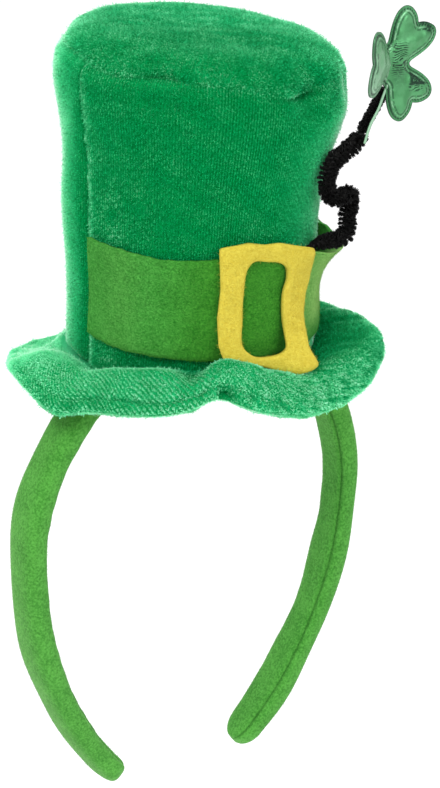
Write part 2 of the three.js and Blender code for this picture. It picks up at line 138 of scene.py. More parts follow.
# angle, lower edge, upper edge, lift of the upper edge
band_rows = smooth([
    (-90, 16.5, 47, 0),
    (-66, 13.7, 46, 0),
    (-45, 13.2, 44.8, 0),
    (-20, 12.8, 45.8, 0.2),
    (5, 13, 46, 0.4),
    (20, 13.5, 45.6, 2.8),
    (32, 14, 44, 5.4),
    (46, 14.5, 41.8, 6.8),
    (60, 15, 40.8, 6.4),
    (74, 15.5, 43.5, 3.6),
    (90, 16.5, 46, 0.3),
])
BAND_FROM, BAND_TO, BAND_THICK = -82, 91, 1.5

# the buckle laid flat: x, z of its outer edge, cut by hand
BUCKLE_EDGE = [
    (-16.7, 50.1), (-7.3, 51.5), (-1.4, 50.4), (4.4, 50.4), (17.3, 47.2), (19, 40.4), (18.9, 36.4),
    (17, 32.5), (16.7, 28.5), (15.4, 22), (14.1, 16.3), (14.7, 13.5), (16, 10.8), (13.5, 9.4),
    (9.4, 8.4), (4.9, 9.4), (-0.8, 11.6), (-7.3, 13.8), (-13.6, 14.4), (-15.1, 18.6), (-15.9, 27.2),
    (-15.4, 37),
]

# x, z of its window
BUCKLE_WINDOW = [
    (-7.1, 42.8), (-5, 45.4), (-0.3, 44.9), (4.8, 43.9), (7.5, 42), (8.3, 38.4), (7.1, 34), (7, 28),
    (7.5, 20), (7.2, 16.7), (4.4, 14.9), (-2.4, 14.7), (-5, 15.8), (-7.7, 18.7), (-7.8, 26),
    (-8, 33),
]
BUCKLE_THICK, BUCKLE_STAND, BUCKLE_RADIUS = 1.8, 0.6, 44

# angle, out, up, radius of the chenille stem
STEM_ROWS = [
    (24.5, 41, 42.8, 1.1),
    (28, 41.8, 45.3, 1.3),
    (33, 45, 47.2, 2.6),
    (41, 49.5, 48.3, 3),
    (42, 49.6, 55, 3),
    (41, 50, 61.8, 3),
    (34, 46.6, 61.6, 3),
    (31, 45.2, 65, 3),
    (31, 45.4, 69.6, 3),
    (33, 46.4, 73.4, 3),
    (38.6, 49.4, 77, 3),
    (40.8, 51.3, 79.4, 3),
    (41.1, 52.1, 81.2, 2.8),
    (41.2, 52.5, 82.8, 1.7),
    (41.9, 54.8, 88.4, 1.6),
    (42.4, 56.5, 92.4, 1.5),
    (42.8, 58.2, 96.4, 0.9),
]
# the row from which its bristles are thin, and the pitch of its twist
STEM_BARE, STEM_PITCH = 12.3, 2.7

SHAMROCK_AT = (43.5, 61, 104.8)
TAIL_ROWS = [
    (43.5, 61, 104.8),
    (40.9, 58.5, 95),
    (40, 57.4, 90.5),
    (38.4, 55.6, 85.3),
    (37, 54.6, 79.7),
]

# angle off a leaf's axis, distance from the shamrock's middle to its outline
leaf_reach = smooth([
    (0, 15.6), (6, 17.2), (12, 18.3), (19, 19), (24, 18.6), (28, 17.6), (32, 16), (36, 13.6),
    (39.5, 11.2), (43, 9), (47, 7.5), (60, 6.7),
])
LEAF_TURNS = (54.3, -54, 173)
SHAMROCK_MIDDLE = (-2, -0.5)
LEAF_FOLD, LEAF_BEND = -3.3, math.radians(38)

# radius, sweep in degrees: one side of the headband from the top of its arch
HEADBAND_ARCS = [(85, 22.3), (42, 31.6), (65.5, 36.1), (120.5, 47)]
HEADBAND_WIDTH, HEADBAND_THICK, HEADBAND_TIP = 14.4, 8.5, 7


# Finishes


class Wire:
    """One output socket of a finish, which takes part in sums as a number does."""

    def __init__(self, finish, socket):
        self.finish, self.socket = finish, socket

    def maths(self, operation, first, second):
        return self.finish.node("ShaderNodeMath", {"operation": operation}, {0: first, 1: second})

    def __add__(self, other):
        return self.maths("ADD", self, other)

    def __radd__(self, other):
        return self.maths("ADD", other, self)

    def __sub__(self, other):
        return self.maths("SUBTRACT", self, other)

    def __rsub__(self, other):
        return self.maths("SUBTRACT", other, self)

    def __mul__(self, other):
        return self.maths("MULTIPLY", self, other)

    def __rmul__(self, other):
        return self.maths("MULTIPLY", other, self)

    def __pow__(self, other):
        return self.maths("POWER", self, other)

    def sine(self):
        return self.maths("SINE", self, 0.0)

    def size(self):
        return self.maths("ABSOLUTE", self, 0.0)


class Finish:
    """A material made of nodes. What is the same all over is set on its shader."""

    def __init__(self, name, **constants):
        self.material = bpy.data.materials.new(name)
        self.material.use_nodes = True
        self.tree = self.material.node_tree
        self.shader = self.tree.nodes["Principled BSDF"]
        for socket, value in constants.items():
            self.shader.inputs[socket.replace("_", " ")].default_value = value

    def node(self, kind, settings=(), sockets=(), output=0):
        made = self.tree.nodes.new(kind)
        for name, value in dict(settings).items():
            setattr(made, name, value)
        for key, value in dict(sockets).items():
            self.feed(made.inputs[key], value)
        return Wire(self, made.outputs[output])

    def feed(self, socket, value):
        if isinstance(value, Wire):
            self.tree.links.new(value.socket, socket)
        else:
            socket.default_value = value

    def give(self, **sockets):
        for name, value in sockets.items():
            self.feed(self.shader.inputs[name.replace("_", " ")], value)
        return self

    def place(self):
        return self.node("ShaderNodeTexCoord", output="Object")

    def noise(self, scale, detail=2.0, roughness=0.5, at=None, distortion=0.0):
        sockets = {"Vector": at or self.place(), "Scale": scale, "Detail": detail}
        sockets |= {"Roughness": roughness, "Distortion": distortion}
        return self.node("ShaderNodeTexNoise", {}, sockets)

    def stretched(self, factors):
        how = {"operation": "MULTIPLY"}
        return self.node("ShaderNodeVectorMath", how, {0: self.place(), 1: factors})

    def carried(self, name, output="Fac"):
        return self.node("ShaderNodeAttribute", {"attribute_name": name}, output=output)

    def mix(self, share, first, second):
        return self.node("ShaderNodeMix", {"data_type": "RGBA"}, {0: share, 6: first, 7: second}, 2)

    def between(self, value, low, high):
        ends = {"Value": value, "From Min": low, "From Max": high}
        return self.node("ShaderNodeMapRange", {"interpolation_type": "SMOOTHSTEP"}, ends)

    def line(self, value, at, width):
        """1 where a value is at one number, fading to 0 on both sides of it."""
        return 1 - self.between((value - at).size(), 0.0, width)

    def bump(self, height, strength, depth):
        return self.node("ShaderNodeBump", {}, {"Height": height, "Strength": strength, "Distance": depth})


# colour of the plush at its roots, darkened as painted shade deep in the pile, and what felt keeps of its
# colours where shade is painted on it
PLUSH_ROOT_SHADE, FELT_SHADE = (0.0004, 0.135, 0.028, 1), (0.73, 0.77, 0.42, 1)


def painted_nap_sheen(finish, colour, edge_on):
    """Painted sheen: the nap's colour made paler where it is seen edge on, as far as its share of painted
    sheen says.
    """
    glow = finish.carried("glow")
    lit = finish.mix(edge_on**3.5 * 1.2 * glow, colour, (0.03, 0.85, 0.34, 1))
    return finish.mix(edge_on**8 * 1.6 * glow, lit, (0.55, 1, 0.74, 1))


def plush_ground():
    """Knitted back of the plush, seen between the fibres, darkened as painted shade deep in the pile and
    made paler by a painted sheen where it is seen edge on. Pale says how far the nap is brushed up there,
    and in places it carries painted light and shade.
    """
    cloth = Finish("plush_ground", Roughness=1.0, Specular_IOR_Level=0.0)
    cloth.give(Sheen_Weight=0.3, Sheen_Roughness=0.3, Sheen_Tint=(0.07, 1, 0.38, 1))
    grain = cloth.noise(1500, 3, 0.6)
    threads = (cloth.carried("thread") * (2 * math.pi)).sine()
    share = cloth.between(cloth.noise(90, 2) * 0.12 + grain * 0.88 + threads * 0.04, 0.36, 0.64)
    deep = cloth.mix(share, PLUSH_ROOT_SHADE, (0.0008, 0.235, 0.06, 1))
    raised = cloth.mix(share, (0.003, 0.26, 0.07, 1), (0.02, 0.46, 0.18, 1))
    colour = cloth.mix(cloth.carried("pale") * 0.6, deep, raised)
    edge_on = cloth.node("ShaderNodeLayerWeight", output="Facing")
    return cloth.give(Base_Color=painted_nap_sheen(cloth, colour, edge_on), Normal=cloth.bump(grain, 0.4, 0.0003))


def plush_pile():
    """Fibres of the plush, dark at the root as painted shade deep in the pile and pale at the tip as a
    painted sheen, most where the nap is brushed up; paler again by a painted sheen where they are seen edge
    on.
    """
    fibre = Finish("plush_pile", Roughness=1.0, Specular_IOR_Level=0.0)
    tip, tone, pale = fibre.carried("tip"), fibre.carried("tone"), fibre.carried("pale")
    # dark roots are painted shade deep in the pile; the pale tips are a painted sheen
    lying = fibre.mix(tone, (0.001, 0.22, 0.058, 1), (0.01, 0.52, 0.19, 1))
    flat = fibre.mix(tip, PLUSH_ROOT_SHADE, lying)
    raised = fibre.mix(tone, (0.02, 0.42, 0.14, 1), (0.26, 1, 0.56, 1))
    raised = fibre.mix(fibre.between(tone, 0.6, 1.3), raised, (0.6, 1, 0.8, 1))
    brushed = fibre.mix(tip, (0.006, 0.34, 0.11, 1), raised)
    colour = fibre.mix(pale, flat, brushed)
    cloth_way = fibre.carried("ground", "Vector")
    edge_on = fibre.node("ShaderNodeLayerWeight", {}, {"Normal": cloth_way}, "Facing")
    return fibre.give(Base_Color=painted_nap_sheen(fibre, colour, edge_on))


def felt(name, dark, light, stain, painted_sheen_patch):
    """Pressed craft felt: mottled, matt and finely hairy, darker with painted shade and paler with a
    painted sheen where its piece says so.
    """
    cloth = Finish(name, Roughness=0.95, Specular_IOR_Level=0.15)
    cloth.give(Sheen_Weight=0.25, Sheen_Roughness=0.5, Sheen_Tint=light)
    cloudy = cloth.noise(160, 4, 0.6)
    specks = cloth.noise(1500, 3, 0.65)
    hairs = cloth.noise(900, 2, 0.6, cloth.stretched((1, 1, 2.6)), 1.5)
    share = cloth.between(cloudy * 0.15 + specks * 0.5 + hairs * 0.35, 0.34, 0.66)
    worn = cloth.between(cloth.noise(55, 2), 0.6, 0.8)
    colour = cloth.mix(worn * 0.25, cloth.mix(share, dark, light), stain)
    # painted shade where the piece carries deep, and a painted pale sheen where it carries its sheen patch
    deep = [tuple(np.multiply(tone, FELT_SHADE)) for tone in (dark, light)]
    colour = cloth.mix(cloth.carried("deep"), colour, cloth.mix(share, *deep))
    colour = cloth.mix(cloth.carried("painted_sheen_patch") * (0.4 + share * 0.6), colour, painted_sheen_patch)
    return cloth.give(Base_Color=colour, Normal=cloth.bump(specks + hairs, 0.6, 0.0005))


def headband_cloth():
    """Brushed knit drawn over foam, with a darker sewn seam."""
    cloth = Finish("headband_fabric", Roughness=0.95, Specular_IOR_Level=0.15)
    cloth.give(Sheen_Weight=0.3, Sheen_Roughness=0.45, Sheen_Tint=(0.65, 1, 0.5, 1))
    cloudy = cloth.noise(120, 3, 0.6)
    specks = cloth.noise(1300, 3, 0.65)
    share = cloth.between(cloudy * 0.25 + specks * 0.75, 0.34, 0.66)
    colour = cloth.mix(share, (0.034, 0.19, 0.02, 1), (0.088, 0.34, 0.05, 1))
    sewn = cloth.mix(cloth.carried("seam") * 0.9, colour, (0.012, 0.085, 0.008, 1))
    return cloth.give(Base_Color=sewn, Normal=cloth.bump(specks, 0.5, 0.0005))


def chenille():
    """Black rayon bristles with a faint shine."""
    fibre = Finish("chenille_black", Roughness=0.6, Specular_IOR_Level=0.2)
    fibre.give(Sheen_Weight=0.05, Sheen_Roughness=0.4, Sheen_Tint=(0.7, 0.7, 0.75, 1))
    tone = fibre.carried("tone")
    return fibre.give(Base_Color=fibre.mix(tone**3, (0.0015, 0.0015, 0.0015, 1), (0.014, 0.0135, 0.012, 1)))


def wire():
    """Twisted steel wire at the heart of the chenille."""
    steel = Finish("stem_wire", Metallic=1.0, Base_Color=(0.55, 0.55, 0.56, 1))
    return steel.give(Roughness=0.25 + steel.noise(2000) * 0.2)


def foil():
    """Green metallic film, welded at the rim in dashes and pressed with fine ribs and crinkles; paler with
    painted reflection where its piece says so, with a painted highlight inside the weld and painted shade
    in its crinkles.
    """
    film = Finish("foil_green", Metallic=0.7, Coat_Roughness=0.15, Coat_Weight=0.1)
    inside, torn = film.carried("inside"), film.noise(700, 3, 0.6)
    cloudy = film.noise(260, 3)
    colour = film.mix(film.between(cloudy, 0.35, 0.65), (0.055, 0.235, 0.085, 1), (0.085, 0.31, 0.125, 1))
    # painted reflection: paler film where the piece says so
    colour = film.mix(film.carried("bright"), colour, (0.3, 0.5, 0.34, 1))
    dashes = film.between((film.carried("along") * (2 * math.pi / 1.1)).sine() + 3 * torn - 1.5, -0.5, 0.5)
    # painted highlight: a pale line just inside the weld
    painted_gleam = film.line(inside, 1.55, 0.4) * film.between(torn, 0.4, 0.6)
    colour = film.mix(painted_gleam * 0.45, colour, (0.42, 0.7, 0.48, 1))
    dashes = dashes * film.carried("dashed") + (1 - film.carried("dashed"))
    weld = film.line(inside, 0.95, 0.6) * (0.3 + 0.7 * dashes)
    hem = film.line(inside, 0.0, 0.55) * (0.9 - 0.35 * dashes)
    seam = film.line(inside, 2.2, 0.5) * film.between(torn, 0.4, 0.5) * 0.7
    ribs = film.between((film.carried("rib") * (2 * math.pi)).sine(), -0.5, 0.5) * film.carried("ribbed")
    # painted shade in the crinkles where the piece says so
    folds = film.between(film.noise(1100, 3, 0.7), 0.68, 0.52) * film.carried("crinkle_shade")
    dark = weld + hem + seam + ribs * film.between(torn, 0.36, 0.5) + folds
    lined = film.mix(dark * 0.97, colour, (0.002, 0.03, 0.012, 1))
    film.give(Base_Color=lined, Roughness=0.28 + cloudy * 0.2)
    return film.give(Normal=film.bump(1 - dark, 0.3, 0.0002))


PLUSH_GROUND, PLUSH_PILE = plush_ground(), plush_pile()
FELT_GREEN = felt(
    "felt_green",
    dark=(0.015, 0.165, 0.013, 1),
    light=(0.072, 0.34, 0.053, 1),
    stain=(0.03, 0.23, 0.022, 1),
    painted_sheen_patch=(0.3, 0.53, 0.14, 1),
)
FELT_YELLOW = felt(
    "felt_yellow",
    dark=(0.52, 0.4, 0.036, 1),
    light=(0.63, 0.54, 0.072, 1),
    stain=(0.56, 0.42, 0.04, 1),
    painted_sheen_patch=(0.72, 0.62, 0.16, 1),
)
HEADBAND_CLOTH, CHENILLE, WIRE, FOIL = headband_cloth(), chenille(), wire(), foil()


# Making meshes


def on_hat(angle, out, up):
    """Points in the hat's own axes in millimetres, by angle, distance from its axis and height."""
    turn = np.radians(angle)
    return np.stack(np.broadcast_arrays(out * np.sin(turn), -out * np.cos(turn), up), -1)


def from_hat(points):
    """Points given in the hat's own axes in millimetres, in the row frame in metres."""
    cos, sin = math.cos(HAT_TURN), math.sin(HAT_TURN)
    x, y, z = np.moveaxis(points, -1, 0)
    return np.stack([HAT_X + cos * x - sin * y, HAT_Y + sin * x + cos * y, z], -1) * MM


def place(angle, out, up):
    return from_hat(on_hat(angle, out, up))


def lumps(points, size, seed, waves=14):
    """Soft random swelling, about 1 either way, with bumps this many metres apart."""
    rng = np.random.default_rng(seed)
    way = rng.normal(size=(waves, 3))
    way *= (2 * np.pi / size * rng.uniform(0.6, 1.4, waves) / np.linalg.norm(way, axis=1))[:, None]
    return np.sin(points @ way.T + rng.uniform(0, 2 * np.pi, waves)).sum(-1) / math.sqrt(waves / 2)


def fade(offset, width):
    return np.exp(-((offset / width) ** 2))


def step_up(value, low, high):
    p = np.clip((value - low) / (high - low), 0, 1)
    return p * p * (3 - 2 * p)


def unit(vectors):
    return vectors / np.maximum(np.linalg.norm(vectors, axis=-1, keepdims=True), 1e-12)


def run_along(points):
    """Distances along lines of points, from the first point of each."""
    steps = np.diff(points, axis=-2, prepend=points[..., :1, :])
    return np.linalg.norm(steps, axis=-1).cumsum(-1)


def curve_between(start, end, leave, arrive, p):
    """Points of a curve from start to end, by how it leaves the one and arrives at the other."""
    first = start + leave * p + (3 * (end - start) - 2 * leave - arrive) * p**2
    return first + (2 * (start - end) + leave + arrive) * p**3


def add_mesh(name, points, faces, finish, weld=False, **carried):
    """An object from arrays: points, lists of faces with equal corners, and values its points carry."""
    mesh = bpy.data.meshes.new(name)
    corners = np.concatenate([group.ravel() for group in faces]).astype(np.int32)
    sizes = np.concatenate([np.full(len(group), group.shape[1]) for group in faces])
    starts = np.concatenate([[0], np.cumsum(sizes)[:-1]]).astype(np.int32)
    mesh.vertices.add(len(points))
    mesh.vertices.foreach_set("co", points.astype(np.float32).ravel())
    mesh.loops.add(len(corners))
    mesh.loops.foreach_set("vertex_index", corners)
    mesh.polygons.add(len(starts))
    mesh.polygons.foreach_set("loop_start", starts)
    for key, values in carried.items():
        kind, field = ("FLOAT_VECTOR", "vector") if values.ndim > 1 else ("FLOAT", "value")
        layer = mesh.attributes.new(key, kind, "POINT")
        layer.data.foreach_set(field, values.astype(np.float32).ravel())
    mesh.update(calc_edges=True)
    if weld:
        joined = bmesh.new()
        joined.from_mesh(mesh)
        bmesh.ops.remove_doubles(joined, verts=joined.verts, dist=2e-6)
        bmesh.ops.dissolve_degenerate(joined, edges=joined.edges, dist=1e-7)
        joined.to_mesh(mesh)
        joined.free()
    mesh.validate()
    mesh.shade_smooth()
    mesh.materials.append(finish.material)
    made = bpy.data.objects.new(name, mesh)
    bpy.context.scene.collection.objects.link(made)
    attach(made, "root")
    return made


def grid_faces(columns, rows, closed, start=0, flip=False):
    """Quads of a grid whose points lie column by column."""
    first = np.arange(columns if closed else columns - 1)
    i, j = np.meshgrid(first, np.arange(rows - 1), indexing="ij")
    here, there = start + i * rows + j, start + (i + 1) % columns * rows + j
    quad = np.stack([here, there, there + 1, here + 1], -1).reshape(-1, 4)
    return quad[:, ::-1] if flip else quad


def shell(name, outer, inner, closed, finish, weld=False, **carried):
    """The closed body between two grids of points, the outer one seen with u to the right and v up."""
    columns, rows = outer.shape[:2]
    inside = columns * rows
    first = np.arange(columns if closed else columns - 1)
    here, there = first * rows, (first + 1) % columns * rows
    top = rows - 1
    edges = [
        np.stack([inside + here, inside + there, there, here], -1),
        np.stack([here + top, there + top, inside + there + top, inside + here + top], -1),
    ]
    if not closed:
        low = np.arange(rows - 1)
        far = (columns - 1) * rows + low
        edges.append(np.stack([low, low + 1, inside + low + 1, inside + low], -1))
        edges.append(np.stack([far, inside + far, inside + far + 1, far + 1], -1))
    quads = [grid_faces(columns, rows, closed), grid_faces(columns, rows, closed, inside, True), *edges]
    points = np.concatenate([outer.reshape(-1, 3), inner.reshape(-1, 3)])
    both = {key: np.concatenate([value.ravel(), value.ravel()]) for key, value in carried.items()}
    return add_mesh(name, points, quads, finish, weld, **both)


def spread(columns, rows, closed=False):
    """u and v of a grid."""
    u = np.arange(columns) / (columns if closed else columns - 1)
    return np.meshgrid(u, np.linspace(0, 1, rows), indexing="ij")


class Ground:
    """A cloth's face as a grid of points, from which fibres grow."""

    def __init__(self, grid, closed=False):
        self.grid, self.closed = grid, closed
        along = (np.roll(grid, -1, 0) - np.roll(grid, 1, 0)) / 2 if closed else np.gradient(grid, axis=0)
        normal = np.cross(along, np.gradient(grid, axis=1))
        self.normal, self.area = unit(normal), np.linalg.norm(normal, axis=-1)

    def read(self, values, u, v):
        """Values of the grid's points, read between them."""
        columns, rows = self.grid.shape[:2]
        spans = columns if self.closed else columns - 1
        x, y = u % 1 * spans, v * (rows - 1)
        i, j = np.minimum(x.astype(int), spans - 1), np.minimum(y.astype(int), rows - 2)
        p, q = x - i, y - j
        if values.ndim > 2:
            p, q = p[:, None], q[:, None]
        after = (i + 1) % columns
        near = values[i, j] * (1 - q) + values[i, j + 1] * q
        far = values[after, j] * (1 - q) + values[after, j + 1] * q
        return near * (1 - p) + far * p

    def scatter(self, count, rng):
        """u and v of points spread evenly."""
        columns = self.area.shape[0] - (not self.closed)
        size = self.area[:columns, :-1] + self.area[:columns, 1:]
        cell = rng.choice(size.size, count, p=(size / size.sum()).ravel())
        i, j = np.divmod(cell, size.shape[1])
        return (i + rng.random(count)) / columns, (j + rng.random(count)) / size.shape[1]


def blades(name, root, way, side, out, length, width, finish, flared=False, **carried):
    """Fibres as narrow blades in one mesh, each with its own place in the baked map: pointed or flared."""
    count = len(root)
    half, tip = side * (width / 2)[:, None], root + way * length[:, None]
    if flared:
        corners, tips = [root, tip + half, tip - half], [0.0, 1.0, 1.0]
    else:
        corners, tips = [root - half, root + half, tip], [0.0, 0.0, 1.0]
    each = {key: np.repeat(value, 3, axis=0) for key, value in carried.items()}
    points, faces = np.stack(corners, 1).reshape(-1, 3), np.arange(count * 3).reshape(-1, 3)
    made = add_mesh(name, points, [faces], finish, tip=np.tile(tips, count), **each)
    cells = math.ceil(math.sqrt(count))
    low = np.stack(np.divmod(np.arange(count), cells)[::-1], -1)[:, None, :]
    uv = (low + np.array([[0.12, 0.12], [0.88, 0.12], [0.5, 0.88]])) / cells
    made.data.uv_layers.new(name="OFBake").data.foreach_set("uv", uv.astype(np.float32).ravel())
    if out is not None:
        made.data.normals_split_custom_set_from_vertices(np.repeat(out, 3, axis=0).astype(np.float32))
    return made


def turned_out(side, way, out):
    """Sides of blades, swapped where the blade would face inwards."""
    return side * np.sign((np.cross(side, way) * out).sum(-1, keepdims=True))


def pile(name, ground, spots, length, width, comb, pale, glow, seed, wild=0.25, contrast=0.33):
    """Plush fibres rooted in a ground and combed one way, pale where their tips show."""
    rng = np.random.default_rng(seed)
    u, v, tufted = spots
    count = len(u)
    root, out = ground.read(ground.grid, u, v), unit(ground.read(ground.normal, u, v))
    nap = comb(root)
    nap = unit(nap - (nap * out).sum(-1, keepdims=True) * out)
    tuft = 0.8 * lumps(root, 0.0011, seed, 40) + tufted
    light = np.clip(ground.read(pale, u, v) * (1 + 0.3 * tuft), 0, 1)
    way = unit(out + (0.2 + 0.5 * light)[:, None] * nap + wild * rng.normal(size=(count, 3)))
    side = turned_out(unit(np.cross(out + 0.4 * rng.normal(size=(count, 3)), way)), way, out)
    tall = length * MM * rng.uniform(0.65, 1.15, count) * np.where(rng.random(count) < 0.04, 1.9, 1)
    wide = width * MM * rng.uniform(0.7, 1.3, count)
    tone = np.clip(0.45 + contrast * tuft + 0.12 * rng.normal(size=count), 0, 1)
    # share of painted sheen at each fibre
    shine = np.clip(ground.read(glow, u, v) * (1 + 0.4 * tuft), 0, 1.5)
    each = {"tone": tone, "pale": light, "glow": shine, "ground": out}
    return blades(name, root, way, side, None, tall, wide, PLUSH_PILE, True, **each)


def hairs(name, ground, count, length, width, finish, seed, **carried):
    """Loose felt hairs lying nearly flat on a ground."""
    rng = np.random.default_rng(seed)
    u, v = ground.scatter(count, rng)
    root, out = ground.read(ground.grid, u, v), unit(ground.read(ground.normal, u, v))
    flat = rng.normal(size=(count, 3))
    flat = unit(flat - (flat * out).sum(-1, keepdims=True) * out)
    way = unit(flat + out * rng.uniform(0.03, 0.55, count)[:, None])
    side = turned_out(unit(np.cross(out, way)), way, out)
    tall = length * MM * rng.uniform(0.5, 1.4, count)
    wide = width * MM * rng.uniform(0.7, 1.3, count)
    each = {key: ground.read(value, u, v) for key, value in carried.items()}
    return blades(name, root, way, side, out, tall, wide, finish, **each)


def in_rows(spots, on_row, rng):
    """Spots thinned out between rows: on_row runs from 1 on a row to -1 between two."""
    kept = rng.random(len(on_row)) < 0.5 + 0.5 * on_row
    return spots[0][kept], spots[1][kept], on_row[kept]


def curve_through(rows, steps, closed=False):
    """Points along a smooth curve through rows, steps to a span, and the row number at each."""
    rows = np.array(rows, float)
    count = len(rows)
    spans = count if closed else count - 1
    if closed:
        knots = np.vstack([rows[-1:], rows, rows[:2]])
    else:
        knots = np.vstack([2 * rows[:1] - rows[1:2], rows, 2 * rows[-1:] - rows[-2:-1]])
    gap = np.maximum(np.sqrt(np.linalg.norm(np.diff(knots, axis=0), axis=1)), 1e-6)
    at = np.linspace(0, spans, spans * steps + 1)
    at = at[:-1] if closed else at
    k = np.minimum(at.astype(int), spans - 1)
    p = (at - k)[:, None]
    a, b, c, d = knots[k], knots[k + 1], knots[k + 2], knots[k + 3]
    before, here, after = gap[k][:, None], gap[k + 1][:, None], gap[k + 2][:, None]
    leave = ((b - a) / before - (c - a) / (before + here) + (c - b) / here) * here
    arrive = ((c - b) / here - (d - b) / (here + after) + (d - c) / after) * here
    return curve_between(b, c, leave, arrive, p), at


def carried_frames(points):
    """Two cross directions along a route, without twist."""
    tangent = unit(np.gradient(points, axis=0))
    first = np.zeros_like(points)
    helper = np.array([0.0, 1.0, 0.0]) if abs(tangent[0, 1]) < 0.9 else np.array([1.0, 0.0, 0.0])
    first[0] = unit(np.cross(tangent[0], helper))
    for k in range(1, len(points)):
        first[k] = unit(first[k - 1] - tangent[k] * (first[k - 1] @ tangent[k]))
    return first, np.cross(tangent, first)


def tube(name, points, first, second, radius, sides, finish, **carried):
    """A round tube with closed ends along a route."""
    turn = 2 * np.pi * np.arange(sides) / sides
    ring = np.cos(turn)[None, :, None] * first[:, None] + np.sin(turn)[None, :, None] * second[:, None]
    return lofted(name, points[:, None] + ring * np.asarray(radius)[:, None, None], finish, **carried)


def lofted(name, grid, finish, **carried):
    """A closed body through rings of points."""
    rings, sides = grid.shape[:2]
    ends = np.stack([grid[0].mean(0), grid[-1].mean(0)])
    k = np.arange(sides)
    after = (k + 1) % sides
    i = np.arange(rings - 1)[:, None] * sides
    quads = np.stack([i + k, i + after, i + sides + after, i + sides + k], -1).reshape(-1, 4)
    last = (rings - 1) * sides
    start = np.full(sides, rings * sides)
    caps = [np.stack([start, after, k], -1), np.stack([start + 1, last + k, last + after], -1)]
    both = {key: np.concatenate([value.ravel(), [0.0, 0.0]]) for key, value in carried.items()}
    return add_mesh(name, np.concatenate([grid.reshape(-1, 3), ends]), [quads, *caps], finish, **both)


# Crown


def beside_seams(angle, beside, width):
    """1 on lines beside the two side seams, this far into the front panel, fading over a width."""
    return fade(angle - LEFT_SEAM - beside, width) + fade(angle - RIGHT_SEAM + beside, width)


def crown_radius(angle, up):
    share = np.clip((up - CROWN_BASE) / (top_seam(angle)[0] - CROWN_BASE), 0, 1)
    radius, lean = crown_wall(share)
    for at, height, depth, wide, tall in CROWN_DENTS:
        radius = radius - depth * fade(angle - at, wide) * fade(up - height, tall)
    offset = np.minimum(np.abs(angle - LEFT_SEAM), np.abs(angle - RIGHT_SEAM))
    groove = 1.3 * fade(offset, 3.5) * (1 - share**4)
    return radius + lean * np.cos(np.radians(angle - LEAN_TO)) - groove


def seam_fill(angle):
    """How far the cushioned top seam stands out of its crease: least at its two deep dents."""
    dented = np.maximum(fade(angle - LEFT_DENT, 7), fade(angle - 18, 10))
    full = 2.2 + 0.4 * fade(angle + 15, 20) - 0.9 * fade(angle + 105, 60) - 0.4 * fade(angle - 55, 38)
    return full - 1.8 * dented


def seam_slack(angle):
    """How far the wall draws in below the top seam at its two sides."""
    return 0.6 * fade(angle + 127, 45) + 1.5 * fade(angle - 55, 38)


def seam_crease(angle, below):
    """The two creases drawn in under the top seam, as shares of the deeper one."""
    left = 0.3 * fade(angle - LEFT_DENT, 7) * fade(below, 1.1)
    return left + fade(angle - 14, 10) * fade(below - 1.8, 1.0)


def crown_cloth(angle, up):
    """Radius of the crown's cloth under the pile, with its soft lumps and the puckers at its seams."""
    seam = top_seam(angle)[0]
    share = np.clip((up - CROWN_BASE) / (seam - CROWN_BASE), 0, 1)
    out = crown_radius(angle, up) - seam_slack(angle) * step_up(share, 0.86, 0.98)
    out = out + seam_fill(angle) * np.clip(share * 40 - 39, 0, 1) ** 1.6
    spot = place(angle, out, up)
    soft = 0.25 * lumps(spot, 0.03, 1) + 0.05 * lumps(spot, 0.012, 2)
    puckers = 0.25 * fade(seam - up, 6) * lumps(spot * np.array([1, 1, 0.25]), 0.011, 3)
    wander = 0.9 * lumps(spot * np.array([0, 0, 1]), 0.014, 10)
    beside = beside_seams(angle + wander, 4.5, 2.5)
    gathers = 0.25 * beside * lumps(spot * np.array([0.3, 0.3, 1]), 0.004, 4)
    slit = 3.2 * seam_crease(angle, seam - up)
    return out - PILE + soft + puckers + gathers + 0.1 * beside - slit - 0.25 * beside_seams(angle, 0, 1.3)


def foot_dip(angle):
    """How far the crown's foot is drawn down beside its left seam."""
    return 1.8 * fade(angle + 79, 12)


def panel_spots(start, end, u, v):
    """Angle and height of a crown panel's points, and how far they lie below the top seam."""
    angle = (start + (end - start) * u + 180) % 360 - 180
    seam, foot = top_seam(angle)[0], CROWN_BASE - foot_dip(angle)
    up = foot + (seam - TOP_GAP - foot) * (1 - (1 - v) ** 1.4)
    return angle, up, seam - up


def crown_panel(start, end, u, v, inset):
    angle, up, _ = panel_spots(start, end, u, v)
    deep = inset + (np.minimum(inset, SEAM_FLAT) - inset) * v**6
    return place(angle, crown_cloth(angle, up) - deep, up)


def crown_lid(u, v, inset, drop):
    """The padded top: v runs from its seam to the middle."""
    angle = -180 + 360 * u
    share = np.cos(v * np.pi / 2) ** 2
    climb = np.arccos(share**2.5)
    inwards = climb * 2 / np.pi
    seam = top_seam(angle)[0]
    level = seam + (top_seam(-24.0)[0] - seam) * inwards
    plain = SEAM_RADIUS - PILE + seam_fill(angle) - seam_slack(angle)
    radius = plain + (crown_cloth(angle, seam) - plain) * (1 - step_up(inwards, 0, 0.25))
    spot = place(angle, share * SEAM_RADIUS, level)
    soft = 0.25 * lumps(spot, 0.026, 5) + 0.3 * fade(inwards, 0.3) * lumps(spot, 0.011, 6)
    sunk = 1.4 * (fade(angle - 120, 45) + fade(angle + 240, 45))
    rise = 9.4 + (0.7 * np.cos(np.radians(angle + 127)) - sunk) * (1 - inwards**2)
    up = level + TOP_GAP + (rise - PILE - drop) * np.sin(climb) + soft * np.minimum(1, 4 * inwards)
    return place(angle, share * (radius - inset), up)


def down(points):
    return np.broadcast_to([0.0, 0.0, -1.0], points.shape)


def away(points):
    """Outwards from the hat's axis and a little down."""
    flat = points - np.array([HAT_X, HAT_Y, 0]) * MM
    flat[:, 2] = -0.015
    return flat


